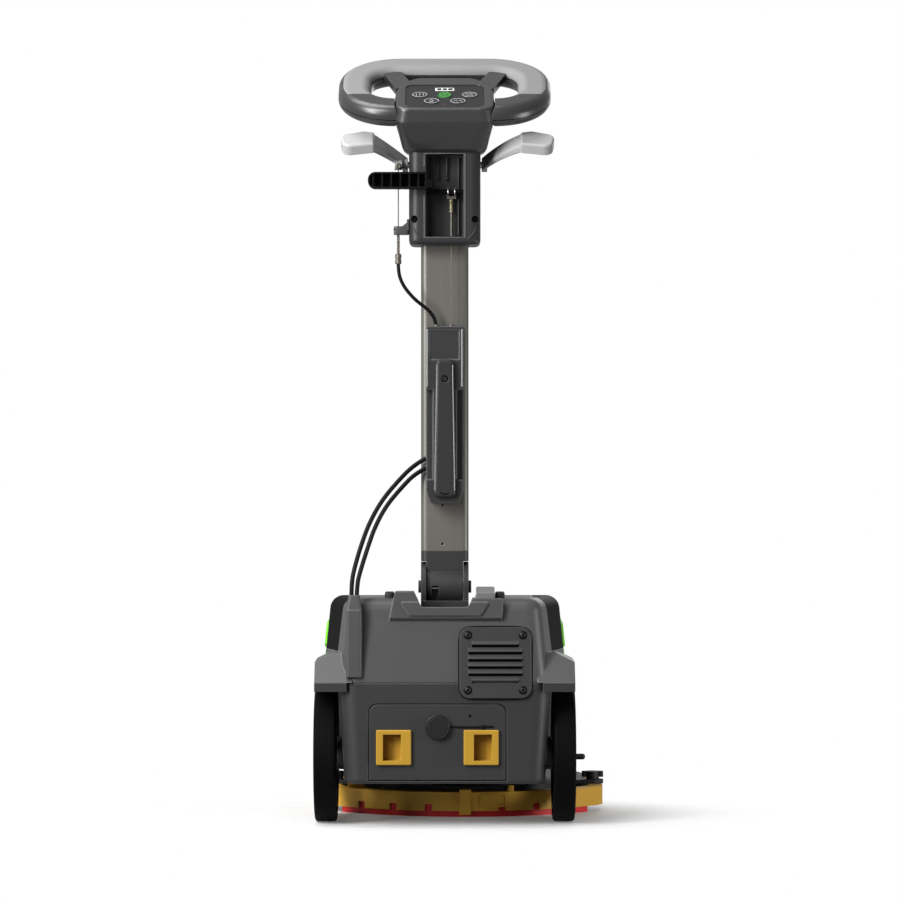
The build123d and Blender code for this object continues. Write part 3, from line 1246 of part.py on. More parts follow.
def release_lever():
    """Ribbed lever bar with its pivot rod and the crank that lifts the release rod."""
    y1 = NECK_REAR_Y - GAP
    y0 = y1 - LEVER_D
    z0 = LEVER_Z + 2.5
    z1 = z0 + LEVER_H
    points = [(LEVER_X0, z0), (LEVER_X1, z0), (LEVER_X1, z1), (LEVER_X0, z1)]
    round_r = LEVER_H / 2 - 1
    bar = rear_prism(points, [round_r, 2, 2, round_r], y0, y1)
    inner = [(LEVER_X0 + 2.5, z0 + 2.5), (LEVER_X1 - 2.5, z0 + 2.5),
             (LEVER_X1 - 2.5, z1 - 2.5), (LEVER_X0 + 2.5, z1 - 2.5)]
    bar -= rear_prism(inner, [round_r - 2.5, 1, 1, round_r - 2.5], y0 - 1, y1 - 3)
    pitch = (LEVER_X1 - LEVER_X0) / (LEVER_RIBS + 0.5)
    for i in range(LEVER_RIBS):
        x = LEVER_X0 + pitch * (i + 0.6)
        bar += slab(x - 1, x + 1, y0 + 1, y1 - 1, z0 + 1, z1 - 1)
    tab_x0 = -RECESS_W / 2 + 1
    web = [(LEVER_Y - LEVER_R, LEVER_Z - LEVER_R), (LEVER_Y + LEVER_R, LEVER_Z - LEVER_R),
           (LEVER_Y + LEVER_R, LEVER_Z + LEVER_R), (y1 + 4, z0 + LEVER_H / 2), (y0, z0 + LEVER_H / 2),
           (y0, z0 + 2)]
    lever = bar + side_prism(web, tab_x0, tab_x0 + 8)
    lever += rod(LEVER_R, *across(RECESS_W / 2 + WALL, LEVER_Y, LEVER_Z))
    lever += slab(ROD_X - 3.2, ROD_X + 3.2, LEVER_Y - 3, ROD_Y + 3, LEVER_Z - 3, LEVER_Z + 3)
    return lever + rod(CRANK_PIN_R, (ROD_X - 7, ROD_Y, LEVER_Z), (ROD_X + 7, ROD_Y, LEVER_Z))


def release_rod():
    """Clevis, sleeve, rod and wire that the lever lifts to free the column's lock."""
    low = LEVER_Z - 6
    clevis = slab(ROD_X - 7, ROD_X + 7, ROD_Y - 5, ROD_Y + 5, low - 4, LEVER_Z + 6)
    clevis -= slab(ROD_X - 3.8, ROD_X + 3.8, ROD_Y - 6, ROD_Y + 6, low, LEVER_Z + 7)
    slot = slab(ROD_X - 8, ROD_X + 8, ROD_Y - CRANK_PIN_R - 1.6, ROD_Y + CRANK_PIN_R + GAP,
                LEVER_Z - CRANK_PIN_R - GAP, LEVER_Z + CRANK_PIN_R + GAP)
    clevis -= slot
    whole = clevis + rod(3, (ROD_X, ROD_Y, low - 24), (ROD_X, ROD_Y, low - 3))
    whole += rod(1.75, (ROD_X, ROD_Y, RECESS_Z0 + 2), (ROD_X, ROD_Y, low - 23))
    return whole + rod(WIRE_R, (ROD_X, ROD_Y, BOX_Z1 - 40), (ROD_X, ROD_Y, RECESS_Z0 + 3))


# Bowden bracket, adjuster and sheath

def cable_bracket():
    """Bent bracket off the neck's left side that holds the Bowden adjuster."""
    x1 = -NECK_W / 2
    bracket = slab(WIRE_X - 7, x1, WIRE_Y - 6, WIRE_Y + 6, BRACKET_Z, BRACKET_Z + 3)
    bracket += slab(x1 - 3, x1, WIRE_Y - 6, WIRE_Y + 6, BRACKET_Z, BRACKET_Z + 16)
    web = rear_prism([(x1 - 15, BRACKET_Z + 2), (x1 - 1, BRACKET_Z + 2), (x1 - 1, BRACKET_Z + 14)],
                     [0, 0, 0], WIRE_Y + 4, WIRE_Y + 6)
    bracket += web
    return bracket - rod(ADJUSTER_R, (WIRE_X, WIRE_Y, 0), (WIRE_X, WIRE_Y, far))


def bowden_sheath():
    """Bowden sheath with its end fitting: ferrule, hollow adjuster screw and lock nut."""
    top = (WIRE_X, WIRE_Y, BRACKET_Z + 6)
    low = (WIRE_X, WIRE_Y, FERRULE_Z0)
    mid = (WIRE_X, WIRE_Y, FERRULE_Z1)
    whole = rod(ADJUSTER_R, mid, top) + rod(FERRULE_R, low, mid)
    whole += Pos(WIRE_X, WIRE_Y, BRACKET_Z + 3) * extrude(
        RegularPolygon(ADJUSTER_R * 2, 6), amount=3)
    whole -= rod(WIRE_R + GAP, (WIRE_X, WIRE_Y, FERRULE_Z0 + 0.5), (WIRE_X, WIRE_Y, far))
    return whole + cord(SHEATH_ROUTE, SHEATH_R, "sheath")


def corner_radii(points):
    """Largest tangent arcs that the runs beside each point of a route leave room for."""
    radii = []
    for a, b, c in zip(points, points[1:], points[2:]):
        before = Vector(*b) - Vector(*a)
        after = Vector(*c) - Vector(*b)
        half_turn = radians(before.get_angle(after)) / 2
        radii.append(0.45 * min(before.length, after.length) / tan(half_turn))
    return radii


def cord(points, radius, name):
    """A round cord along straight runs joined by tangent arcs."""
    radii = corner_radii(points)
    path = FilletPolyline(*points, radius=radii)
    wire = Wire(path.edges())
    section = Plane(origin=wire @ 0, z_dir=wire % 0) * Circle(radius)
    solid = sweep(section, path=wire)
    print(name, "radii", [round(r) for r in radii], "length", round(wire.length, 1),
          "volume ratio", round(solid.volume / (pi * radius ** 2 * wire.length), 4))
    return solid


SHEATH_ROUTE = ((WIRE_X, WIRE_Y, FERRULE_Z0), (WIRE_X + 0.3, -60.0, 804.0), (-64.0, -59.5, 792.0),
                (-58.5, -59.0, 781.5), (-50.5, -58.0, 771.5), (-40.8, -57.0, 761.5),
                (-28.5, -55.5, 752.6), (-19.5, -54.0, 744.0), (-13.5, -52.6, 733.0),
                (SHEATH_END_X, ROD_Y, BOX_Z1 - WALL))
lead_end_z = DUCT_Z1 + BOOT_H - WALL
LEAD_A_ROUTE = ((-BOX_W / 2 - GAP, LEAD_EXIT_Y, LEAD_ZS[0]), (-44.0, -50.0, 524.0),
                (-68.0, -56.0, 500.0), (-92.0, -65.0, 471.0), (-110.0, -75.0, 438.0),
                (-122.0, -86.0, 404.0), (-131.0, -98.0, 372.0),
                (lead_xs[0], lead_y + 1, 352.0), (lead_xs[0], lead_y, lead_end_z))
LEAD_B_ROUTE = ((-BOX_W / 2 - GAP, LEAD_EXIT_Y, LEAD_ZS[1]), (-43.0, -51.0, 511.0),
                (-64.0, -57.0, 489.0), (-85.0, -66.0, 464.0), (-101.0, -76.0, 434.0),
                (-112.0, -87.0, 402.0), (-121.5, -98.0, 371.0),
                (lead_xs[1] + 0.4, lead_y + 1, 352.0), (lead_xs[1], lead_y, lead_end_z))


# All pieces

def model():
    """Every node of the machine, by name."""
    left_band, right_band = side_bands()
    nodes = {
        "chassis_tub": chassis_tub(), "rear_cover": rear_cover(),
        "side_band_left": left_band, "side_band_right": right_band,
        "vent_grille": vent_grille(), "cable_duct": cable_duct(), "tank_button": tank_button(),
        "column_foot": column_foot(), "pivot_pin": pivot_pin(),
        "column_stand": column_stand(), "stub_axles": stub_axles(),
        "tyre_right": wheel_tyre(), "rim_right": wheel_rim(),
        "tyre_left": mirrored(wheel_tyre()), "rim_left": mirrored(wheel_rim()),
        "brush_bristles": brush_bristles(), "brush_driver": brush_driver(),
        "brush_deck": brush_deck(), "squeegee_frame": squeegee_frame(),
        "rear_blade": rear_blade(), "front_blade": front_blade(), "blade_clip": blade_clip(),
        "brush_motor": brush_motor(), "suction_motor": suction_motor(),
        "solution_tank": solution_tank(), "filler_cap": filler_cap(), "drain_plug": drain_plug(),
        "recovery_tank": recovery_tank(), "tank_lid": tank_lid(),
        "battery_pack": battery_pack(), "charge_cap": charge_cap(), "cap_strap": cap_strap(),
        "latch_left": battery_latch(-1), "latch_right": battery_latch(1),
        "column_knuckle": column_knuckle(), "column_tube": column_tube(),
        "junction_box": junction_box(), "junction_cover": junction_cover(),
        "neck": neck(),
        "handle_lower_shell": handle_lower_shell(), "handle_upper_shell": handle_upper_shell(),
        "grip_pad": grip_pad(), "control_panel": control_panel(),
        "paddle_shaft": paddle_shaft(), "paddle_left": paddle(-1), "paddle_right": paddle(1),
        "paddle_wire": paddle_wire(), "release_lever": release_lever(),
        "release_rod": release_rod(), "cable_bracket": cable_bracket(),
        "bowden_sheath": bowden_sheath(),
        "lead_a": cord(LEAD_A_ROUTE, LEAD_R, "lead a"),
        "lead_b": cord(LEAD_B_ROUTE, LEAD_R, "lead b"),
    }
    for side, name in ((-1, "knob_left"), (1, "knob_right")):
        nodes[name] = Pos(BRUSH_X + side * KNOB_REACH, KNOB_Y, 0) * squeegee_knob()
    for i, name in enumerate(KEY_NAMES):
        nodes["key_" + name] = console_key(i)
    return nodes


os.makedirs("parts", exist_ok=True)
to_origin = Pos(-BRUSH_X, -BRUSH_Y, 0)
for node, shape in model().items():
    export_step(one(to_origin * shape), f"parts/{node}.step")
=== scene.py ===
import bmesh
import bpy
import numpy as np
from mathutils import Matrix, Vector


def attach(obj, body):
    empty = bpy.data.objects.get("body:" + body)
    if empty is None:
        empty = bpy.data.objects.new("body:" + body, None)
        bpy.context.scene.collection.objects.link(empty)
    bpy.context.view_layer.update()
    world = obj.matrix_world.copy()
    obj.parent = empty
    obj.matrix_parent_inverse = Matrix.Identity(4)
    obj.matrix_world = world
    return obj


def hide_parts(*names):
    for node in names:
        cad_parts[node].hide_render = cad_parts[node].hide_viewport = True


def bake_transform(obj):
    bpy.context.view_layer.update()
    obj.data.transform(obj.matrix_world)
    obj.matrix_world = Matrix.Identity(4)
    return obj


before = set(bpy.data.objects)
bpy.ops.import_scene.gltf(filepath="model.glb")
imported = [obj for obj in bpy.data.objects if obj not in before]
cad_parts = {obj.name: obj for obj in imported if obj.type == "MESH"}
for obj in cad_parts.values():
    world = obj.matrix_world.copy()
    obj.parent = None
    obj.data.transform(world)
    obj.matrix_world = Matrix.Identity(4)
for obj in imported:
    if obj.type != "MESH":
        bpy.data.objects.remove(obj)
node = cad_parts
scene = bpy.context.scene
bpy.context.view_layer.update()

# Lower body tub.
# One injection-moulded shell in charcoal polypropylene, with a fine spark-eroded grain that
# breaks up the highlights and edges that the mould rounds. It sits on the axle stubs.

FINE_SHARE = 0.4
MEAN_LEVEL = 0.7
# Where the averaged normal turns this far, an edge gets a painted highlight.
HIGHLIGHT_FROM = 0.97
HIGHLIGHT_FULL = 0.82
GLOSS_SWING = 0.12
BUMP_STRENGTH = 0.5


def tone(red, green, blue):
    """A display colour, 0 to 255 a channel, as the linear colour that a shader takes."""
    c = np.array([red, green, blue]) / 255
    linear = np.where(c > 0.04045, ((c + 0.055) / 1.055) ** 2.4, c / 12.92)
    return (*linear.tolist(), 1.0)


def feed(tree, socket, value):
    """Links a socket to another node's output, or sets it to a plain value."""
    if isinstance(value, bpy.types.NodeSocket):
        tree.links.new(value, socket)
    else:
        socket.default_value = value


def add(tree, kind, *values, **settings):
    """One shader node. Settings set its fields or, where it has no such field, its inputs by name;
    values fill its inputs in order."""
    made = tree.nodes.new(kind)
    for key, value in settings.items():
        if hasattr(made, key):
            setattr(made, key, value)
        else:
            feed(tree, made.inputs[key.replace("_", " ")], value)
    for socket, value in zip(made.inputs, values):
        feed(tree, socket, value)
    return made


def sockets(group, inputs, outputs):
    """Names the sockets of a node group: name, kind and default value of each input."""
    for name, kind, value in inputs:
        made = group.interface.new_socket(name, in_out="INPUT", socket_type=kind)
        made.default_value = value
    for name, kind in outputs:
        group.interface.new_socket(name, in_out="OUTPUT", socket_type=kind)
    return group.nodes.new("NodeGroupInput"), group.nodes.new("NodeGroupOutput")


def moulded_grain():
    """Node group: eroded mould grain, slow tone drift and a painted highlight on edges over a base
    colour, in object space. Stretch scales the place before the noise, so a low Z draws the grain out
    along the piece; an edge is where the normal turns when it is averaged over the Edge radius, and
    there the colour is lightened as a painted highlight."""
    group = bpy.data.node_groups.new("Moulded grain", "ShaderNodeTree")
    entry, out = sockets(
        group,
        [("Colour", "NodeSocketColor", (0.1, 0.1, 0.1, 1)), ("Scale", "NodeSocketFloat", 900.0),
         ("Drift", "NodeSocketFloat", 0.12), ("Roughness", "NodeSocketFloat", 0.5),
         ("Stretch", "NodeSocketVector", (1, 1, 1)), ("Edge", "NodeSocketFloat", 0.001),
         ("Wear", "NodeSocketFloat", 1.0)],
        [("Colour", "NodeSocketColor"), ("Roughness", "NodeSocketFloat"),
         ("Height", "NodeSocketFloat"), ("Normal", "NodeSocketVector")])
    given = entry.outputs
    place = add(group, "ShaderNodeTexCoord").outputs["Object"]
    drawn = add(group, "ShaderNodeVectorMath", place, given["Stretch"], operation="MULTIPLY")
    fine = add(group, "ShaderNodeTexNoise", Vector=drawn.outputs[0], Scale=given["Scale"], Detail=3.0,
               Roughness=0.6).outputs["Fac"]
    slow = add(group, "ShaderNodeTexNoise", Vector=place, Scale=9.0, Detail=2.0).outputs["Fac"]
    both = add(group, "ShaderNodeMath", fine, FINE_SHARE, slow, operation="MULTIPLY_ADD")
    swing = add(group, "ShaderNodeMath", both.outputs[0], MEAN_LEVEL, operation="SUBTRACT")
    amount = add(group, "ShaderNodeMath", swing.outputs[0], given["Drift"], 1.0,
                 operation="MULTIPLY_ADD")
    soft = add(group, "ShaderNodeBevel", samples=4, Radius=given["Edge"]).outputs["Normal"]
    flat = add(group, "ShaderNodeNewGeometry").outputs["Normal"]
    turn = add(group, "ShaderNodeVectorMath", soft, flat, operation="DOT_PRODUCT")
    # Painted highlight: the base colour is lightened on edges, where the averaged normal turns.
    highlight_mask = add(group, "ShaderNodeMapRange", Value=turn.outputs["Value"], From_Min=HIGHLIGHT_FROM,
              From_Max=HIGHLIGHT_FULL)
    drift_and_highlight = add(group, "ShaderNodeMath", highlight_mask.outputs["Result"], given["Wear"], amount.outputs[0],
               operation="MULTIPLY_ADD")
    shade = add(group, "ShaderNodeVectorMath", given["Colour"], operation="SCALE",
                Scale=drift_and_highlight.outputs[0])
    gloss = add(group, "ShaderNodeMath", fine, GLOSS_SWING, given["Roughness"],
                operation="MULTIPLY_ADD")
    feed(group, out.inputs["Colour"], shade.outputs[0])
    feed(group, out.inputs["Roughness"], gloss.outputs[0])
    feed(group, out.inputs["Height"], fine)
    feed(group, out.inputs["Normal"], soft)
    return group


GRAIN = moulded_grain()


def grained(name, colour, rough, scale=900.0, depth=0.00006, drift=0.12, metal=0.0, edge=0.001,
            edge_highlight=2.5, shine=0.28, stretch=(1, 1, 1)):
    """A material of one colour under the moulded grain: plastic, rubber, paint or metal. Its edges
    catch the light as if rounded by the edge length, and a painted highlight lightens their colour."""
    made = bpy.data.materials.new(name)
    made.use_nodes = True
    tree = made.node_tree
    grain = add(tree, "ShaderNodeGroup", node_tree=GRAIN, Colour=colour, Scale=scale, Drift=drift,
                Roughness=rough, Stretch=stretch, Edge=edge, Wear=edge_highlight).outputs
    bump = add(tree, "ShaderNodeBump", Strength=BUMP_STRENGTH, Distance=depth, Height=grain["Height"],
               Normal=grain["Normal"])
    shader = tree.nodes["Principled BSDF"].inputs
    feed(tree, shader["Metallic"], metal)
    feed(tree, shader["Specular IOR Level"], shine)
    feed(tree, shader["Base Color"], grain["Colour"])
    feed(tree, shader["Roughness"], grain["Roughness"])
    feed(tree, shader["Normal"], bump.outputs["Normal"])
    return made


def dress(material, *names):
    """Gives CAD nodes one material."""
    for name in names:
        mesh = node[name].data
        mesh.materials.clear()
        mesh.materials.append(material)


# The tub's edges get a strong painted highlight.
tub_charcoal = grained("tub charcoal", tone(43, 43, 44), 0.36, edge=0.0022, edge_highlight=3.0)
dress(tub_charcoal, "chassis_tub", "solution_tank")

# Rear cover.
# The upper moulding of the same charcoal plastic, given a lighter tone than the tub as painted light:
# back wall, fender tops and the saddle with its two ears. Ahead of each ear sits a low black rubber rest.

COLUMN_X = -30.0
AXLE_Y = -265.0
SIDES = {"left": -1, "right": 1}
SHARP_ANGLE = 0.7
MERGE_DISTANCE = 1e-7
REST_PLACE = (80.0, -62.0, 330.6)
REST_HALF = (7.0, 16.0)
REST_ROWS = [(0, 0), (1, 0), (1, 5.5), (0.95, 7.6), (0.82, 8.6), (0, 8.8)]


def at(x, y, z):
    """Millimetres right of the column, ahead of the axle and above the floor, in frame metres."""
    return np.stack(np.broadcast_arrays(x + COLUMN_X, y + AXLE_Y, z), axis=-1) / 1000


def rounded(half_u, half_v, power, count):
    """Places round the superellipse |u/a|^n + |v/b|^n = 1, a rectangle with softened corners."""
    turn = np.linspace(0, 2 * np.pi, count, endpoint=False)
    u = half_u * np.sign(np.cos(turn)) * np.abs(np.cos(turn)) ** (2 / power)
    v = half_v * np.sign(np.sin(turn)) * np.abs(np.sin(turn)) ** (2 / power)
    return u, v


def block(place, centre, half_u, half_v, rows, power=4.0, count=40):
    """Points of a moulded block: each row (share of the plan, height) is a superellipse round the
    centre, put in space by the function place(u, v, w)."""
    u, v = rounded(half_u, half_v, power, count)
    share, height = np.array(rows, float).T[..., None]
    return place(centre[0] + share * u, centre[1] + share * v, centre[2] + height)


def skin(name, grid, material, body):
    """One piece from grids of points (..., rows, columns, xyz): each cell is a face, the columns
    close round, and rows that shrink to a point close the ends. Body None leaves it unattached."""
    index = np.arange(grid[..., 0].size).reshape(grid.shape[:-1])
    beside = np.roll(index, -1, axis=-1)
    faces = np.stack([index[..., :-1, :], beside[..., :-1, :], beside[..., 1:, :],
                      index[..., 1:, :]], axis=-1)
    mesh = bpy.data.meshes.new(name)
    mesh.from_pydata(grid.reshape(-1, 3).tolist(), [], faces.reshape(-1, 4).tolist())
    shape = bmesh.new()
    shape.from_mesh(mesh)
    bmesh.ops.remove_doubles(shape, verts=shape.verts, dist=MERGE_DISTANCE)
    bmesh.ops.recalc_face_normals(shape, faces=shape.faces)
    shape.to_mesh(mesh)
    shape.free()
    mesh.shade_smooth()
    mesh.set_sharp_from_angle(angle=SHARP_ANGLE)
    mesh.materials.append(material)
    piece = bpy.data.objects.new(name, mesh)
    scene.collection.objects.link(piece)
    if body:
        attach(piece, body)
    return piece


# A lighter tone than the tub's, for the same plastic: painted light on the upper moulding.
lit_cover_charcoal = grained("cover charcoal painted lighter", tone(65, 65, 66), 0.34, edge=0.0022, edge_highlight=2.2)
dress(lit_cover_charcoal, "rear_cover")
rest_rubber = grained("rest rubber", tone(17, 17, 17), 0.5, drift=0.05)
for which, side in SIDES.items():
    rest = block(at, (side * REST_PLACE[0], *REST_PLACE[1:]), *REST_HALF, REST_ROWS)
    skin(f"rest_{which}", rest, rest_rubber, "carriage")

# Corner bands.
# Two black satin mouldings, one on each rear corner, clipped in between the rear cover and the
# tank. They cover the joint between the charcoal and the green.

band_black = grained("band black", tone(6, 6, 6), 0.4, drift=0.05, shine=0.02)
dress(band_black, "side_band_left", "side_band_right")

# Vent plate.
# A louvred plate in charcoal plastic over the suction motor's air outlet; a black line round it is
# painted shade in the gap at its edge, and a black sheet behind the louvres is painted shade in the
# slots. Four black screws with six-lobed sockets, each on a washer, hold it on the leaning rear wall.

WALL_FOOT = (-108.0, 210.0)
WALL_RUN = (14.0, 121.0)
WALL_UP = np.array([0.0, *WALL_RUN]) / np.linalg.norm(WALL_RUN)
WALL_OUT = np.array([0.0, -WALL_UP[2], WALL_UP[1]])
VENT_X = 73.0
VENT_Z = 238.5
VENT_Y = WALL_FOOT[0] + WALL_RUN[0] * (VENT_Z - WALL_FOOT[1]) / WALL_RUN[1]
VENT_AXES = np.array([(1.0, 0.0, 0.0), WALL_UP, WALL_OUT]) / 1000
VENT_PROUD = 3.0
SCREW_PITCH = 39.6
VENT_SCREW = (3.9, 2.0)
WASHER_ROWS = [(0, 0, 0), (6.2, 0, 0), (6.2, 0.4, 0), (5.7, 0.8, 0), (0, 0.8, 0)]
GAP_SHADE_HALF = (52.8, 52.3)
GAP_SHADE_SECTION = (1.1, 0.5)
SHADE_SHEET_HALF = (43.0, 34.0)
SHADE_SHEET_ROWS = [(0, -7.4), (1, -7.4), (1, -6.4), (0, -6.4)]
LOBES = 6
ASIDE = (0.37, 0.61, 0.70)
BEAD_TOP = 0.6
BEAD_SINK = 0.2


def on_vent(u, v, w):
    """A place on the vent plate's leaning plane: across, up the wall and square out of it."""
    return at(VENT_X, VENT_Y, VENT_Z) + np.stack(np.broadcast_arrays(u, v, w), axis=-1) @ VENT_AXES


def turned(centre, axis, rows, count=36):
    """Points of a turned piece: each row (radius, height, wave) is a circle round the axis, with
    its radius times 1 + wave cos 6a, which makes a six-lobed socket where the wave isn't zero."""
    axis = np.array(axis, float) / np.linalg.norm(axis)
    first = np.cross(axis, ASIDE)
    first /= np.linalg.norm(first)
    second = np.cross(axis, first)
    turn = np.linspace(0, 2 * np.pi, count, endpoint=False)
    radius, height, wave = np.array(rows, float).T[..., None]
    radius = radius * (1 + wave * np.cos(LOBES * turn))
    ring = np.cos(turn)[:, None] * first + np.sin(turn)[:, None] * second
    return np.asarray(centre) + (height[..., None] * axis + radius[..., None] * ring) / 1000


def bead(path, up, half, height, closed=False):
    """Points of a raised line: along the path a low four-cornered section, half wide to each side
    and height tall along up; open ends shrink to a point."""
    ahead = np.roll(path, -1, 0) - np.roll(path, 1, 0) if closed else np.gradient(path, axis=0)
    side = np.cross(ahead, up)
    side *= half / 1000 / np.linalg.norm(side, axis=-1, keepdims=True)
    rise = np.array(up) * height / 1000
    sunk = BEAD_SINK * rise
    grid = np.stack([path - side - sunk, path - BEAD_TOP * side + rise, path + BEAD_TOP * side + rise,
                     path + side - sunk], axis=1)
    if closed:
        return np.concatenate([grid, grid[:1]])
    ends = grid.mean(axis=1, keepdims=True).repeat(4, axis=1)
    return np.concatenate([ends[:1], grid, ends[-1:]])


def screw_rows(radius, height):
    """Profile of a pan-head screw: underside, rounded rim, crown and a lobed socket."""
    shares = [(0, 0, 0), (1, 0, 0), (1, 0.45, 0), (0.9, 0.8, 0), (0.68, 1, 0), (0.5, 1, 0.1),
              (0.46, 0.3, 0.1), (0, 0.25, 0)]
    return np.array(shares) * (radius, height, 1)


dress(grained("vent plastic", tone(44, 44, 45), 0.38), "vent_grille")
# Near black, for dark parts and for painted shade in gaps, slots and holes.
black_and_painted_shade = grained("black and painted shade", tone(8, 8, 9), 0.2, drift=0.02, edge=0.0002, edge_highlight=0.2, shine=0.08)
screw_black = grained("black zinc", tone(46, 46, 47), 0.3, scale=500.0, metal=0.7, edge=0.0003)
for i, (u, v) in enumerate(((-1, -1), (1, -1), (-1, 1), (1, 1))):
    corner = on_vent(u * SCREW_PITCH, v * SCREW_PITCH, VENT_PROUD)
    washer = turned(corner, WALL_OUT, WASHER_ROWS)
    skin(f"vent_washer_{i + 1}", washer, black_and_painted_shade, "carriage")
    screw = turned(corner, WALL_OUT, screw_rows(*VENT_SCREW))
    skin(f"vent_screw_{i + 1}", screw, screw_black, "carriage")
# Painted shade: a black line round the plate stands for the shadow in the gap at its edge.
gap_shade = on_vent(*rounded(*GAP_SHADE_HALF, power=7, count=96), 0)
skin("vent_gap_shade", bead(gap_shade, WALL_OUT, *GAP_SHADE_SECTION, closed=True), black_and_painted_shade, "carriage")
# Painted shade: a black sheet behind the louvres so that the slots look dark.
shade_sheet = block(on_vent, (0, 0, 0), *SHADE_SHEET_HALF, SHADE_SHEET_ROWS, power=9)
skin("vent_shade_sheet", shade_sheet, black_and_painted_shade, "carriage")

# Cable duct.
# A tall hollow post in the rear cover's charcoal plastic and painted lighter tone, fixed on the left
# of the back wall.
# Its tapered top guides the two leads down into the body.

dress(lit_cover_charcoal, "cable_duct")

# Tank, lid and release button.
# The recovery tank is roto-moulded in lime green, with a shallow panel raised on each flank; its
# lid is black and the catch that frees the tank is a light-grey wedge on the right ear.

FLANK_X = 180.0
FLANK_REAR_Y = 22.0
FLANK_WIDENS = 1 / 228
FLANK_LEANS = 12 / 121
FLANK_MIDDLE = (117.0, 272.0, 0.0)
FLANK_HALF = (90.0, 19.2)
FLANK_ROWS = [(0, -1.5), (1, -1.5), (1, 0.8), (0.985, 1.8), (0.95, 2.4), (0, 2.4)]


def on_flank(side):
    """Places on one flank of the tank, by Y, Z and height out of a wall that leans in by 12 in 121
    and widens forward by 1 in 228."""
    def place(y, z, out):
        x = FLANK_X + FLANK_WIDENS * (y - FLANK_REAR_Y) - FLANK_LEANS * (z - WALL_FOOT[1])
        return at(side * (x + out), y, z)
    return place


tank_lime = grained("tank lime", tone(106, 188, 42), 0.42, scale=500.0, depth=0.00012, drift=0.1)
dress(tank_lime, "recovery_tank")
for which, side in SIDES.items():
    panel = block(on_flank(side), FLANK_MIDDLE, *FLANK_HALF, FLANK_ROWS, power=6, count=64)
    skin(f"tank_flank_{which}", panel, tank_lime, "tank")
dress(grained("lid black", tone(20, 20, 21), 0.4, drift=0.05), "tank_lid")
dress(grained("button grey", tone(96, 96, 97), 0.45), "tank_button")

# Wheels.
# Black glass-filled rims with a pressed-in dust cap, and solid near-black rubber tyres with fine
# tread ribs. They turn on steel stubs pressed into the tub.

HALF_TRACK = 190.0
WHEEL_R = 100.0
RIB_PITCH = 5.5
WAVE_RATE = 20.0
CAP_ROWS = [(0, -0.6, 0), (15, -0.6, 0), (15, 0.2, 0), (14.2, 0.8, 0), (12.6, 0.8, 0),
            (11.8, 0.3, 0), (4, 0.3, 0), (2.5, 0.7, 0), (0, 0.8, 0)]


def treaded(name, colour, pitch):
    """Rubber with fine ribs round the tyre: a wave across X of that pitch, in millimetres, over a
    mottled colour. At scale 1 the wave texture turns by the wave rate, in radians a metre."""
    made = grained(name, colour, 0.6, scale=420.0, drift=0.25, shine=0.04, edge=0.002)
    tree = made.node_tree
    place = add(tree, "ShaderNodeTexCoord").outputs["Object"]
    wave = add(tree, "ShaderNodeTexWave", Vector=place, Scale=2 * np.pi / WAVE_RATE / (pitch / 1000),
               Distortion=0.4)
    ribs = add(tree, "ShaderNodeBump", Strength=0.35, Distance=0.0004, Height=wave.outputs["Fac"],
               Normal=tree.nodes["Bump"].outputs["Normal"])
    feed(tree, tree.nodes["Principled BSDF"].inputs["Normal"], ribs.outputs["Normal"])
    return made


rim_black = grained("rim black", tone(20, 20, 21), 0.42, drift=0.06)
dress(rim_black, "rim_left", "rim_right")
dress(treaded("tyre rubber", tone(7, 7, 7), RIB_PITCH), "tyre_left", "tyre_right")
steel = grained("bright steel", tone(186, 186, 188), 0.24, scale=400.0, depth=0.00002, metal=1.0,
                edge=0.0003)
dress(steel, "stub_axles", "paddle_shaft")
for which, side in SIDES.items():
    cap = turned(at(side * HALF_TRACK, 0.0, WHEEL_R), (side, 0, 0), CAP_ROWS)
    skin(f"dust_cap_{which}", cap, rim_black, f"wheel_{which}")

# Brush, deck and motors.
# A black driver plate set with rings of splayed nylon tufts under a black moulded deck; the
# gear motor that turns it and the suction fan stand inside the body.

TUFT_PITCH = 9.0
TUFT_RINGS = np.arange(48.0, 167.0, TUFT_PITCH)
TUFT_TOP = 20.4
TUFT_ROWS = np.array([(0.0, TUFT_TOP, 0.0), (2.4, TUFT_TOP, 0.0), (3.5, 0.0, 1.6), (0.0, 0.0, 1.6)])


def tufts():
    """Points of every tuft at once: on each ring of radius r, one tuft each pitch of arc; a tuft is
    six-sided, wider at its tip and splayed outwards by the last number of its rows."""
    rings = [np.arange(0, 2 * np.pi, TUFT_PITCH / r) for r in TUFT_RINGS]
    angle = np.concatenate(rings)
    radius = np.repeat(TUFT_RINGS, [ring.size for ring in rings])
    outward = np.stack([np.cos(angle), np.sin(angle)], axis=-1)[:, None, None]
    turn = np.arange(6) * np.pi / 3
    hexagon = np.stack([np.cos(turn), np.sin(turn)], axis=-1)
    size, height, splay = TUFT_ROWS.T[:, None, :, None]
    plan = outward * (radius[:, None, None, None] + splay[..., None]) + size[..., None] * hexagon
    rise = np.broadcast_to(height, plan.shape[:-1])
    return np.concatenate([plan, rise[..., None]], axis=-1) / 1000


dress(grained("deck black", tone(24, 24, 25), 0.48), "brush_driver", "brush_deck")
nylon = grained("bristle nylon", tone(38, 44, 62), 0.5, scale=300.0, drift=0.5)
brush_tufts = skin("brush_tufts", tufts(), nylon, "brush")
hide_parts("brush_bristles")
dress(grained("motor paint", tone(40, 40, 42), 0.35), "brush_motor", "suction_motor")

# Squeegee ring.
# A glass-filled yellow ring round the brush, with a guard frame and a post moulded on it, a clip
# behind and red polyurethane blades down to the floor. Two black wing knobs clamp it; the drain
# plug and the filler cap are of the knobs' plastic.

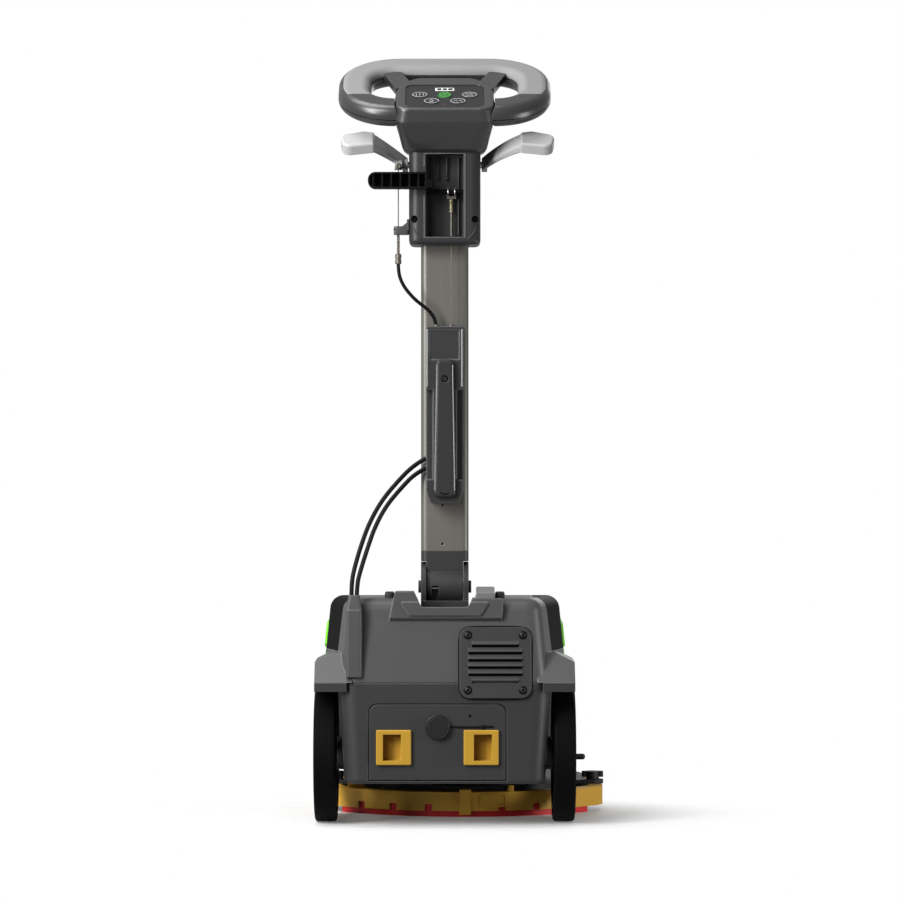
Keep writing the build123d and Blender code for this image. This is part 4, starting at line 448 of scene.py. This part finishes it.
RING_CENTRE = (30.0, 314.0)
RING_REAR_R = 264.0
GUARD_MIDDLE = (71.5, 25.0)
GUARD_HALF = (18.5, 8.5)
GUARD_OUT = (0.16, -0.987, 0)
GUARD_SECTION = (1.8, 1.6)
POST_PLACE = (98.0, 66.0, 36.8)
POST_HALF = (5.0, 4.0)
POST_ROWS = [(0, 0), (1, 0), (0.92, 8), (0.75, 9.3), (0, 9.5)]


def guard_path():
    """Rounded rectangle on the ring's rear wall: a superellipse in X and Z, with Y from the arc."""
    u, v = rounded(*GUARD_HALF, power=10, count=48)
    x = GUARD_MIDDLE[0] + u
    y = RING_CENTRE[1] - np.sqrt(RING_REAR_R ** 2 - (x - RING_CENTRE[0]) ** 2)
    return at(x, y, GUARD_MIDDLE[1] + v)


yellow = grained("squeegee yellow", tone(196, 150, 50), 0.44, drift=0.3, edge_highlight=0.7)
dress(yellow, "squeegee_frame", "blade_clip")
guard = bead(guard_path(), GUARD_OUT, *GUARD_SECTION, closed=True)
skin("ring_guard", guard, yellow, "carriage")
post = block(at, POST_PLACE, *POST_HALF, POST_ROWS)
skin("ring_post", post, yellow, "carriage")
blade_red = grained("blade red", tone(196, 36, 38), 0.38, drift=0.2, edge_highlight=0.5)
dress(blade_red, "rear_blade", "front_blade")
knob_black = grained("knob black", tone(19, 19, 19), 0.38, drift=0.05)
dress(knob_black, "knob_left", "knob_right", "drain_plug", "filler_cap")

# Battery pack.
# Charcoal casing that slides out of the tub like a drawer, with two yellow latches, a rubber
# cap over the charging socket, the strap that keeps the cap, and a small charge light.

DOOR_Y = -108.3
DOOR_OUT = np.array([0.0, -1.0, 0.0])
CAP_EDGE_X = 7.6
STRAP_END_X = 70.0
STRAP_Z = 146.3
STRAP_SAG = 0.5
STRAP_SECTION = (1.5, 1.5)
NUB_X = 55.0
NUB_ROWS = [(0, 0, 0), (3, 0, 0), (3.3, 1.4, 0), (3, 2.6, 0), (2, 3.1, 0), (0, 3.2, 0)]
LIGHT_PLACE = (36.3, -108.0, 162.4)
LIGHT_ROWS = [(0, -0.5, 0), (2.2, -0.5, 0), (2.2, 0.3, 0), (1.5, 0.5, 0), (1.2, 0.1, 0), (0, 0.3, 0)]

dress(grained("door plastic", tone(42, 42, 43), 0.4), "battery_pack")
latch_yellow = grained("latch yellow", tone(166, 128, 40), 0.42, drift=0.08, edge_highlight=0.7)
dress(latch_yellow, "latch_left", "latch_right")
# The cap's rim gets a strong painted highlight.
dress(grained("cap rubber", tone(14, 14, 15), 0.4, drift=0.06, edge=0.0012, edge_highlight=11.0), "charge_cap")
strap_rubber = grained("strap rubber", tone(7, 7, 7), 0.5, drift=0.06, edge=0.0002, edge_highlight=0.0, shine=0.1)
strap_x = np.linspace(CAP_EDGE_X, STRAP_END_X, 33)
strap_bow = STRAP_SAG * np.sin(np.pi * (strap_x - CAP_EDGE_X) / (NUB_X - CAP_EDGE_X))
strap_line = bead(at(strap_x, DOOR_Y, STRAP_Z - strap_bow), DOOR_OUT, *STRAP_SECTION)
strap = skin("strap", strap_line, strap_rubber, None)
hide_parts("cap_strap")
at(NUB_X - 4, DOOR_Y, STRAP_Z)
at(CAP_EDGE_X + 2, DOOR_Y, STRAP_Z)
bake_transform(strap)
nub = turned(at(NUB_X, DOOR_Y, STRAP_Z), DOOR_OUT, NUB_ROWS)
skin("strap_nub", nub, strap_rubber, "battery")
charge_light = turned(at(*LIGHT_PLACE), DOOR_OUT, LIGHT_ROWS)
skin("charge_light", charge_light, black_and_painted_shade, "battery")

# Column foot.
# A cast fork on a pedestal, with the knuckle between its cheeks, in grey paint with a fine
# orange-peel; two plated pins cross the slot where the tilt catch works.

PIN_X = -19.0
PIN_Y = -44.0
PIN_HEIGHTS = {"low": 322.0, "high": 343.5}
PIN_ROWS = [(0, 0, 0), (1.3, 0, 0), (1.3, 10, 0), (0, 10, 0)]

cast_grey = grained("cast grey", tone(38, 38, 39), 0.4, scale=350.0, depth=0.0001, edge=0.0015)
dress(cast_grey, "column_foot", "column_knuckle", "column_stand", "pivot_pin")
for level, z in PIN_HEIGHTS.items():
    pin = turned(at(PIN_X, PIN_Y, z), (1, 0, 0), PIN_ROWS, count=16)
    skin(f"catch_pin_{level}", pin, steel, "column")

# Column tube.
# A hollow aluminium extrusion, anodised a warm grey, that sits on the knuckle's plug. The die
# leaves fine streaks along its length.

anodised = grained("anodised column", tone(94, 92, 87), 0.34, scale=700.0, depth=0.00003, drift=0.3,
                   metal=0.35, stretch=(1, 1, 0.012), edge=0.0015)
dress(anodised, "column_tube")

# Junction box.
# Charcoal housing on the column's rear face with a smoother rib-shaped cover, held by one
# socket screw. Steel bushes in its top take the release rod and the control cable's sheath.

UPRIGHT = (0, 0, 1)
BOX_TOP = 724.5
BOX_REAR = -74.0
BOX_HIGHLIGHT_X = 25.2
BOX_HIGHLIGHT_Z = np.linspace(637.0, 720.0, 8)
BOX_HIGHLIGHT_SECTION = (1.3, 0.25)
COVER_Y = -83.0
COVER_HEIGHTS = (476.0, 652.0)
COVER_HALVES = (16.0, 13.0)
COVER_SCREW = (4.4, 1.8)
COVER_SCREW_PLACE = (0.0, -79.3, 648.0)
LIP_HIGHLIGHT_Z = np.linspace(487.0, 668.0, 40)
LIP_HIGHLIGHT_INSET = 1.3
LIP_HIGHLIGHT_Y = COVER_Y + 1.34
LIP_HIGHLIGHT_OUT = (0.71, -0.704, 0)
LIP_HIGHLIGHT_SECTION = (0.9, 0.4)
SLOT_HALF = 6.5
SLOT_Z = 481.0
SLOT_RISE = 2.6
SLOT_SECTION = (1.1, 0.2)
BUSH_Y = -52.0
BUSHES = {"rod_bush": (9.7, 2.3), "sheath_bush": (-12.0, 2.8)}

# The housing's edges get a strong painted highlight.
dress(grained("box plastic", tone(38, 38, 39), 0.34, edge=0.003, edge_highlight=6.0), "junction_box")
dress(grained("cover plastic", tone(35, 35, 36), 0.32, edge=0.0025), "junction_cover")
cover_screw = turned(at(*COVER_SCREW_PLACE), DOOR_OUT, screw_rows(*COVER_SCREW))
skin("cover_screw", cover_screw, screw_black, "column")
# Painted highlights: light-grey lines down the edges of the housing's head and along the cover's sides.
highlight_plastic = grained("painted highlight grey", tone(112, 112, 113), 0.3)
lip_highlight_x = np.interp(LIP_HIGHLIGHT_Z, COVER_HEIGHTS, COVER_HALVES) - LIP_HIGHLIGHT_INSET
for which, side in SIDES.items():
    edge = bead(at(side * BOX_HIGHLIGHT_X, BOX_REAR, BOX_HIGHLIGHT_Z), DOOR_OUT, *BOX_HIGHLIGHT_SECTION)
    skin(f"box_edge_{which}", edge, highlight_plastic, "column")
    lip_highlight = bead(at(side * lip_highlight_x, LIP_HIGHLIGHT_Y, LIP_HIGHLIGHT_Z), (side * LIP_HIGHLIGHT_OUT[0], *LIP_HIGHLIGHT_OUT[1:]), *LIP_HIGHLIGHT_SECTION)
    skin(f"cover_lip_highlight_{which}", lip_highlight, highlight_plastic, "column")
# Painted shade: a black line on the cover where its slot is, for the shadow inside the slot.
slot_x = np.linspace(-SLOT_HALF, SLOT_HALF, 15)
slot_shade_line = at(slot_x, COVER_Y, SLOT_Z + SLOT_RISE * (slot_x / SLOT_HALF) ** 2)
skin("cover_slot_shade", bead(slot_shade_line, DOOR_OUT, *SLOT_SECTION), black_and_painted_shade, "column")
dark_steel = grained("dark steel", tone(92, 88, 82), 0.4, scale=400.0, depth=0.00002, metal=0.8,
                     edge=0.0004)
for name, (x, bore) in BUSHES.items():
    ring = [(bore, -0.5, 0), (bore + 2, -0.5, 0), (bore + 2, 2.2, 0), (bore + 1.2, 3, 0), (bore, 3, 0),
            (bore, -0.5, 0)]
    skin(name, turned(at(x, BUSH_Y, BOX_TOP), UPRIGHT, ring), dark_steel, "column")

# Power leads.
# Two round black rubber leads leave the junction box on its left and hang in one easy bow into
# the boot of the cable duct.

LEAD_R = 3.2
LEAD_ROUTES = {
    "a": ((-27.3, -48.5, 533), (-44, -50, 524), (-68, -56, 500), (-92, -65, 471), (-110, -75, 438),
          (-122, -86, 404), (-131, -98, 372), (-134.3, -103.455, 352), (-134.3, -104.455, 332)),
    "b": ((-27.3, -48.5, 518.5), (-43, -51, 511), (-64, -57, 489), (-85, -66, 464), (-101, -76, 434),
          (-112, -87, 402), (-121.5, -98, 371), (-126.3, -103.455, 352), (-126.7, -104.455, 332)),
}


def route_line(name, points):
    """The smooth line of a cable: a NURBS spline with the route's points as control points."""
    data = bpy.data.curves.new(name, "CURVE")
    data.dimensions = "3D"
    spline = data.splines.new("NURBS")
    spline.points.add(len(points) - 1)
    places = at(*np.array(points, float).T)
    spline.points.foreach_set("co", np.hstack([places, np.ones((len(points), 1))]).ravel())
    spline.order_u = 3
    spline.use_endpoint_u = True
    line = bpy.data.objects.new(name, data)
    scene.collection.objects.link(line)
    return line


def line_points(line):
    """The points that Blender gives along a curve without thickness."""
    mesh = bpy.data.meshes.new_from_object(line)
    places = np.empty(len(mesh.vertices) * 3)
    mesh.vertices.foreach_get("co", places)
    return places.reshape(-1, 3)


def tube(path, radius, count=16):
    """Points of a round tube: at each path point a circle square to the path, ends closed."""
    ahead = np.gradient(path, axis=0)
    ahead /= np.linalg.norm(ahead, axis=-1, keepdims=True)
    side = np.cross(ahead, (0, 1, 0))
    side /= np.linalg.norm(side, axis=-1, keepdims=True)
    other = np.cross(ahead, side)
    turn = np.linspace(0, 2 * np.pi, count, endpoint=False)[:, None]
    ring = np.cos(turn) * side[:, None] + np.sin(turn) * other[:, None]
    grid = path[:, None] + radius / 1000 * ring
    ends = grid.mean(axis=1, keepdims=True).repeat(count, axis=1)
    return np.concatenate([ends[:1], grid, ends[-1:]])


lead_rubber = grained("lead rubber", tone(5, 5, 5), 0.42, drift=0.1, edge=0.0002, edge_highlight=0.0, shine=0.12)
for which, points in LEAD_ROUTES.items():
    line = route_line(f"lead_line_{which}", points)
    path = line_points(line)
    bpy.data.objects.remove(line)
    lead = skin(f"power_lead_{which}", tube(path, LEAD_R), lead_rubber, None)
    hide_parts(f"lead_{which}")
    at(*points[-2])
    at(*points[1])
    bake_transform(lead)
    at(*points[0])

# Neck.
# A charcoal hollow moulding that closes the column's top. A raised rim runs round the recess that
# the release lever works in, in a lighter grey that is a painted highlight; ribs stiffen the recess's
# floor, a short gusset stands under each screw hole, and a black disc in each hole is painted shade.

NECK_Y = -74.0
NECK_FLAT = 38.0
NECK_ROUND = 14.0
RIM_X = np.array([-29.6, -29.6, 29.6, 29.6, -29.6, -29.6])
RIM_Z = np.array([956.0, 974.6, 974.6, 853.0, 853.0, 914.0])
RIM_SECTION = (1.1, 1.1)
RECESS_FLOOR = -44.0
RECESS_RIBS = {"left": (-20, 858, 970), "right": (20, 858, 970), "short_left": (-9, 938, 971),
               "short_right": (3, 938, 971)}
RIB_SECTION = (1.7, 5.0)
HOLE_X = 44.0
HOLE_Z = 879.5
HOLE_SHADE_ROWS = [(0, -8, 0), (5.15, -8, 0), (5.15, -5.8, 0), (4.9, -5.8, 0), (4.7, -7.6, 0), (0, -7.6, 0)]
GUSSET_START = (45.0, 866.0)
GUSSET_RUN = (11.0, 16.0)
GUSSET_CURVE = 0.8
GUSSET_SECTION = (1.4, 1.1)

neck_plastic = grained("neck plastic", tone(36, 36, 37), 0.38, edge=0.002)
dress(neck_plastic, "neck")
# Painted highlight: the rim is a lighter grey than the neck it stands on.
highlight_rim_plastic = grained("rim painted highlight", tone(74, 74, 75), 0.34)
recess_rim = bead(at(RIM_X, NECK_Y, RIM_Z), DOOR_OUT, *RIM_SECTION)
skin("recess_rim", recess_rim, highlight_rim_plastic, "column")
for which, (x, low, high) in RECESS_RIBS.items():
    rib = bead(at(x, RECESS_FLOOR, np.linspace(low, high, 12)), DOOR_OUT, *RIB_SECTION)
    skin(f"recess_rib_{which}", rib, neck_plastic, "column")
share = np.linspace(0, 1, 9)
gusset_x = GUSSET_START[0] - GUSSET_RUN[0] * share
gusset_z = GUSSET_START[1] - GUSSET_RUN[1] * share ** GUSSET_CURVE
corner_drop = NECK_ROUND - np.sqrt(NECK_ROUND ** 2 - np.maximum(gusset_x - NECK_FLAT, 0) ** 2)
for which, side in SIDES.items():
    # Painted shade: a black disc on the floor of each screw hole.
    hole_shade = turned(at(side * HOLE_X, NECK_Y, HOLE_Z), DOOR_OUT, HOLE_SHADE_ROWS)
    skin(f"screw_hole_shade_{which}", hole_shade, black_and_painted_shade, "column")
    gusset = bead(at(side * gusset_x, NECK_Y + corner_drop, gusset_z), DOOR_OUT, *GUSSET_SECTION)
    skin(f"gusset_{which}", gusset, neck_plastic, "column")

# Release lever and rod.
# A black ribbed thumb lever on a cross rod; two plated collars keep its crank in place, and the
# crank lifts a steel rod that is crimped into a drab brass barrel.

CROSS_ROD = (-62.0, 920.0)
COLLAR_XS = (4.8, 14.6)
COLLAR_ROWS = [(3.4, -0.9, 0), (4.3, -0.9, 0), (4.7, -0.4, 0), (4.7, 0.4, 0), (4.3, 0.9, 0),
               (3.4, 0.9, 0), (3.4, -0.9, 0)]
BARREL_PLACE = (9.7, -52.0, 890.6)
BARREL_ROWS = [(2.8, 0, 0), (3.5, 0.6, 0), (3.5, 2.2, 0), (3.1, 3, 0), (3.1, 15, 0), (3.6, 16, 0),
               (3.6, 18.4, 0), (2.8, 19, 0), (2.8, 0, 0)]

# The lever's rib edges get a strong painted highlight.
lever_black = grained("lever black", tone(8, 8, 8), 0.42, drift=0.05, shine=0.05, edge=0.0008, edge_highlight=14.0)
dress(lever_black, "release_lever")
dress(dark_steel, "release_rod", "paddle_wire")
for i, x in enumerate(COLLAR_XS):
    collar = turned(at(x, *CROSS_ROD), (1, 0, 0), COLLAR_ROWS)
    skin(f"crank_collar_{i + 1}", collar, steel, "release_lever")
barrel_brass = grained("barrel brass", tone(112, 108, 86), 0.35, scale=400.0, depth=0.00002, metal=0.5,
                       edge=0.0008)
barrel = turned(at(*BARREL_PLACE), UPRIGHT, BARREL_ROWS)
skin("rod_barrel", barrel, barrel_brass, "release_rod")

# Control cable.
# The paddles pull a steel wire through a black sheath. A steel ferrule and a threaded adjuster
# with its lock nut hold the sheath's end in the bracket; the sheath bows into the junction box.

SHEATH_R = 2.6
SHEATH_ROUTE = ((-67.5, -60, 815), (-67.2, -60, 804), (-64, -59.5, 792), (-58.5, -59, 781.5),
                (-50.5, -58, 771.5), (-40.8, -57, 761.5), (-28.5, -55.5, 752.6), (-19.5, -54, 744),
                (-13.5, -52.6, 733), (-12, -52, 720.5))
WIRE_PLACE = (-67.5, -60.0)
FERRULE_Z = 815.0
FERRULE_ROWS = [(0, 0, 0), (3.6, 0, 0), (4.6, 1, 0), (4.6, 6, 0), (3.9, 6.6, 0), (3.9, 8, 0),
                (4.6, 8.6, 0), (4.6, 14, 0), (3.4, 15, 0), (0, 15, 0)]
THREAD_Z = 830.0
THREAD_LENGTH = 40.0
THREAD_PITCH = 1.25
THREAD_R = 2.05
THREAD_DEPTH = 0.22
CLAMP_PLACE = (-63.0, -60.0, 863.5)
CLAMP_HALF = (11.0, 6.2)
CLAMP_ROWS = [(0, -6), (0.96, -6), (1, -5), (1, 5.4), (0.94, 6.4), (0, 6.4)]
NUT_Z = 867.0
NUT_ROWS = [(2.3, 0, 0), (4.2, 0, 0), (4.6, 0.5, 0), (4.6, 2.5, 0), (4.2, 3, 0), (2.3, 3, 0), (2.3, 0, 0)]
ANCHOR_PLACE = (-67.5, -65.3, 957.0)
ANCHOR_SCREW = (4.6, 2.2)

sheath = route_line("sheath", SHEATH_ROUTE)
sheath.data.bevel_depth = SHEATH_R / 1000
sheath.data.bevel_resolution = 4
sheath.data.materials.append(lead_rubber)
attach(sheath, "column")
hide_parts("bowden_sheath")
at(*SHEATH_ROUTE[0])
ferrule = turned(at(*WIRE_PLACE, FERRULE_Z), UPRIGHT, FERRULE_ROWS)
skin("ferrule", ferrule, dark_steel, "column")
thread_z = np.arange(0, THREAD_LENGTH, THREAD_PITCH / 4)
thread_r = THREAD_R + THREAD_DEPTH * np.cos(2 * np.pi * thread_z / THREAD_PITCH)
thread_rows = np.stack([thread_r, thread_z, 0 * thread_z], axis=-1)
thread = turned(at(*WIRE_PLACE, THREAD_Z), UPRIGHT, thread_rows, count=20)
skin("adjuster_thread", thread, dark_steel, "column")
bracket_grey = grained("bracket grey", tone(58, 58, 59), 0.36, edge=0.0012, edge_highlight=3.0)
dress(bracket_grey, "cable_bracket")
clamp = block(at, CLAMP_PLACE, *CLAMP_HALF, CLAMP_ROWS, power=5)
skin("adjuster_clamp", clamp, bracket_grey, "column")
nut = turned(at(*WIRE_PLACE, NUT_Z), UPRIGHT, NUT_ROWS, count=6)
skin("lock_nut", nut, steel, "column")
anchor = turned(at(*ANCHOR_PLACE), DOOR_OUT, screw_rows(*ANCHOR_SCREW))
skin("anchor_screw", anchor, dark_steel, "paddles")

# Steering loop and pad.
# Two charcoal half shells screwed together round the loop, with a light-grey soft pad of
# stippled elastomer on top.

GRIP_TILT = np.radians(28)
GRIP_Y = -96.0
GRIP_Z = 1030.0
LOOP_CORNERS = np.array([(73, 64, 82, -90), (65, 94, 90, 0), (-65, 94, 90, 90), (-73, 64, 82, 180)], float)
SEAM_W = -2.75
SEAM_SHADE_SECTION = (0.7, 0.15)


def on_grip(u, v, w):
    """A place on the loop's tilted plane: across, up the slope and square to it, in millimetres."""
    return at(u, GRIP_Y + v * np.cos(GRIP_TILT) - w * np.sin(GRIP_TILT),
              GRIP_Z + v * np.sin(GRIP_TILT) + w * np.cos(GRIP_TILT))


def loop_seam_shade():
    """The line where the half shells meet, drawn black as painted shade in the joint: four corner arcs
    round the loop's outer side, joined by straight runs, raised along each arc's own radius."""
    turn = np.radians(LOOP_CORNERS[:, 3:] + np.linspace(0, 90, 16))
    u, v, radius = LOOP_CORNERS[:, :3].T[..., None]
    path = on_grip(u + radius * np.cos(turn), v + radius * np.sin(turn), SEAM_W)
    out = np.stack([np.cos(turn), np.sin(turn) * np.cos(GRIP_TILT), np.sin(turn) * np.sin(GRIP_TILT)],
                   axis=-1)
    return bead(path.reshape(-1, 3), out.reshape(-1, 3), *SEAM_SHADE_SECTION, closed=True)


loop_plastic = grained("loop plastic", tone(42, 42, 43), 0.26, shine=0.55)
dress(loop_plastic, "handle_lower_shell", "handle_upper_shell")
pad_grey = grained("pad grey", tone(124, 124, 124), 0.6, scale=1500.0, depth=0.0001, drift=0.06, edge_highlight=0.3,
                   shine=0.3)
dress(pad_grey, "grip_pad")
# Painted shade: a black line along the joint between the half shells.
skin("loop_seam_shade", loop_seam_shade(), black_and_painted_shade, "column")

# Console panel.
# A black panel with a small display of three segments, a round signal light and five rubber
# keys with printed rims and plain signs: power, brush, suction, water and speed.

GRIP_UP = np.array([0, -np.sin(GRIP_TILT), np.cos(GRIP_TILT)])
PANEL_TOP = 15.8
KEY_TOP = 16.8
KEYS = {"brush": (-36.0, 32.5), "suction": (36.0, 32.5), "water": (-19.0, 9.0), "speed": (19.0, 9.0)}
KEY_RIM_HALF = (10.35, 8.55)
KEY_RIM_WIDTH = 0.45
SIGN_WIDTH = 0.42
PRINT_HEIGHT = 0.12
DROP_HALF = (3.4, 4.6)
DROP_WIDTH = 0.4
POWER_KEY = (0.0, 32.5)
POWER_R = 5.0
POWER_WIDTH = 0.8
POWER_RIM_HALF = (9.6, 10.1)
DISPLAY_V = 55.0
DISPLAY_HALF = (14.0, 6.0)
DISPLAY_ROWS = [(0, -1.2), (1, -1.2), (1, -0.3), (0.97, -0.1), (0, -0.1)]
SEGMENT_US = (-8.0, 0.0, 8.0)
SEGMENT_HALF = (2.9, 3.2)
SEGMENT_ROWS = [(0, -0.2), (1, -0.2), (1, 0.05), (0, 0.05)]
SIGNAL_V = -4.6
SIGNAL_ROWS = [(0, -0.5, 0), (1.5, -0.5, 0), (1.5, 0.2, 0), (1, 0.5, 0), (0, 0.6, 0)]


def printed(middle, u, v, width=SIGN_WIDTH, closed=False):
    """A printed line on a key's top, through places given across and up from the key's middle."""
    path = on_grip(middle[0] + np.array(u, float), middle[1] + np.array(v, float), KEY_TOP)
    return bead(path, GRIP_UP, width, PRINT_HEIGHT, closed)


def oval(middle, half, width):
    """A rim round a key: the ellipse u = a cos t, v = b sin t."""
    return printed(middle, half[0] * np.cos(round_turn), half[1] * np.sin(round_turn), width, True)


def drop_sign(middle):
    """A drop: u = 3.4 sin t sin^1.5(t/2), v = 4.6 cos t, closed."""
    u = DROP_HALF[0] * np.sin(round_turn) * np.sin(round_turn / 2) ** 1.5
    return printed(middle, u, DROP_HALF[1] * np.cos(round_turn), DROP_WIDTH, True)


dress(grained("panel black", tone(22, 22, 23), 0.5, drift=0.06), "control_panel")
dress(grained("key green", tone(52, 122, 50), 0.5, drift=0.1, edge_highlight=0.5), "key_power")
dress(grained("key grey", tone(32, 32, 33), 0.55, drift=0.06), *(f"key_{key}" for key in KEYS))
print_white = grained("print white", tone(176, 178, 179), 0.5, drift=0.04, edge=0.0001)
print_dark = grained("print dark", tone(10, 28, 12), 0.5, drift=0.04, edge=0.0001)
round_turn = np.linspace(0, 2 * np.pi, 48, endpoint=False)
ripple = np.linspace(-6, 6, 21)
signs = {
    "brush": np.stack([printed(KEYS["brush"], (x, x, x), (-3.5, 0, 3.5)) for x in (-5, 0, 5)]),
    "suction": np.stack([printed(KEYS["suction"], ripple, v + np.sin(ripple)) for v in (-2.6, 2.6)]),
    "water": drop_sign(KEYS["water"]),
    "speed": printed(KEYS["speed"], (-6, -3, 0, 3, 6), (-2.5, 3, -2.5, 3, -2.5)),
}
for key, middle in KEYS.items():
    rim = oval(middle, KEY_RIM_HALF, KEY_RIM_WIDTH)
    skin(f"key_rim_{key}", rim, print_white, f"key_{key}")
    skin(f"key_sign_{key}", signs[key], print_white, f"key_{key}")
power_turn = np.radians(np.linspace(125, 415, 30))
power_arc = printed(POWER_KEY, POWER_R * np.cos(power_turn), POWER_R * np.sin(power_turn), POWER_WIDTH)
skin("key_sign_power_ring", power_arc, print_dark, "key_power")
power_bar = printed(POWER_KEY, (0, 0, 0), (1, 4, 7), POWER_WIDTH)
skin("key_sign_power_bar", power_bar, print_dark, "key_power")
power_rim = oval(POWER_KEY, POWER_RIM_HALF, POWER_WIDTH)
skin("key_rim_power", power_rim, print_dark, "key_power")
display = block(on_grip, (0, DISPLAY_V, PANEL_TOP), *DISPLAY_HALF, DISPLAY_ROWS, power=9)
display_white = grained("display white", tone(196, 200, 196), 0.25, drift=0.05, edge=0.0002)
skin("display", display, display_white, "column")
for i, u in enumerate(SEGMENT_US):
    segment = block(on_grip, (u, DISPLAY_V, PANEL_TOP), *SEGMENT_HALF, SEGMENT_ROWS, power=8)
    skin(f"segment_{i + 1}", segment, black_and_painted_shade, "column")
signal_red = grained("signal red", tone(96, 40, 36), 0.25, drift=0.1, edge=0.0002)
signal = turned(on_grip(0.0, SIGNAL_V, PANEL_TOP), GRIP_UP, SIGNAL_ROWS)
skin("signal_light", signal, signal_red, "column")

# Drive paddles.
# Two light-grey mouldings with a satin surface, hollow beneath, on the ends of the cross shaft.
# Squeezing either one turns the shaft and pulls the wire.

paddle_grey = grained("paddle grey", tone(160, 160, 161), 0.4, drift=0.06, edge_highlight=0.3)
dress(paddle_grey, "paddle_left", "paddle_right")

# Studio.
# A pale floor that fades into a white ground. Two soft lights stand behind on the left, a broad
# one hangs above, weak ones fill the right and the front, and a long lens looks on level.

FLOOR_REACH = 3.0
FLOOR_GREY = 0.68
FLOOR_ROUGH = 0.6
FADE_CENTRE = (0.03, 0.2, 0)
FADE_STRETCH = (1, 1.7, 0)
GROUND_FILL = 0.06
MIRRORED_SHARE = 0.5
LIGHTS = {
    "key_light": ((-1.6, -3.3, 2.4), (0, -0.3, 0.5), (1.0, 1.2), 54),
    "left_light": ((-1.25, -1.5, 1.1), (0, -0.3, 0.4), (0.5, 1.5), 54),
    "right_light": ((1.2, -0.7, 0.3), (0.12, -0.25, 0.1), (0.4, 0.5), 9),
    "front_light": ((0.9, 2.4, 1.5), (0, 0, 0.4), (1.2, 1.6), 12),
    "top_light": ((-1.0, -0.7, 3.4), (0, -0.2, 0.1), (1.8, 1.8), 78),
}
CAMERA_PLACE = (-0.0224, -5.465, 0.545)
LENS = 141.5
SENSOR = 36.0

scene.view_settings.view_transform = "Standard"

floor_mesh = bpy.data.meshes.new("studio floor")
corners = [(x * FLOOR_REACH, y * FLOOR_REACH, 0) for x, y in ((-1, -1), (1, -1), (1, 1), (-1, 1))]
floor_mesh.from_pydata(corners, [], [(0, 1, 2, 3)])
floor = bpy.data.objects.new("studio_floor", floor_mesh)
scene.collection.objects.link(floor)
floor_look = bpy.data.materials.new("studio floor")
floor_look.use_nodes = True
tree = floor_look.node_tree
place = add(tree, "ShaderNodeTexCoord").outputs["Object"]
centred = add(tree, "ShaderNodeVectorMath", place, FADE_CENTRE, operation="ADD")
stretched = add(tree, "ShaderNodeVectorMath", centred.outputs[0], FADE_STRETCH, operation="MULTIPLY")
far_off = add(tree, "ShaderNodeVectorMath", stretched.outputs[0], operation="LENGTH")
fade = add(tree, "ShaderNodeMapRange", interpolation_type="SMOOTHSTEP", Value=far_off.outputs["Value"],
           From_Min=0.2, From_Max=0.52, To_Min=0.92, To_Max=0.0)
shader = tree.nodes["Principled BSDF"].inputs
feed(tree, shader["Base Color"], (FLOOR_GREY, FLOOR_GREY, FLOOR_GREY, 1))
feed(tree, shader["Roughness"], FLOOR_ROUGH)
feed(tree, shader["Alpha"], fade.outputs["Result"])
floor_mesh.materials.append(floor_look)

world = bpy.data.worlds.new("studio")
scene.world = world
world.use_nodes = True
tree = world.node_tree
rays = add(tree, "ShaderNodeLightPath").outputs
mirrored = add(tree, "ShaderNodeMath", rays["Is Glossy Ray"], rays["Is Transmission Ray"],
               operation="MAXIMUM")
softened = add(tree, "ShaderNodeMath", mirrored.outputs[0], MIRRORED_SHARE, operation="MULTIPLY")
seen = add(tree, "ShaderNodeMath", rays["Is Camera Ray"], softened.outputs[0], operation="MAXIMUM")
level = add(tree, "ShaderNodeMapRange", Value=seen.outputs[0], To_Min=GROUND_FILL, To_Max=1.0)
ground = tree.nodes["Background"].inputs
feed(tree, ground["Color"], (1, 1, 1, 1))
feed(tree, ground["Strength"], level.outputs["Result"])


def soft_box(name, place, target, size, watts):
    """A rectangular area light that faces a point."""
    data = bpy.data.lights.new(name, "AREA")
    data.shape = "RECTANGLE"
    data.size, data.size_y = size
    data.energy = watts
    lamp = bpy.data.objects.new(name, data)
    lamp.location = place
    lamp.rotation_euler = (Vector(target) - lamp.location).to_track_quat("-Z", "Y").to_euler()
    scene.collection.objects.link(lamp)
    return lamp


for name, settings in LIGHTS.items():
    soft_box(name, *settings)

camera_data = bpy.data.cameras.new("camera")
camera_data.lens = LENS
camera_data.sensor_width = SENSOR
camera = bpy.data.objects.new("camera", camera_data)
camera.location = CAMERA_PLACE
camera.rotation_euler = (np.pi / 2, 0, 0)
scene.collection.objects.link(camera)
scene.camera = camera
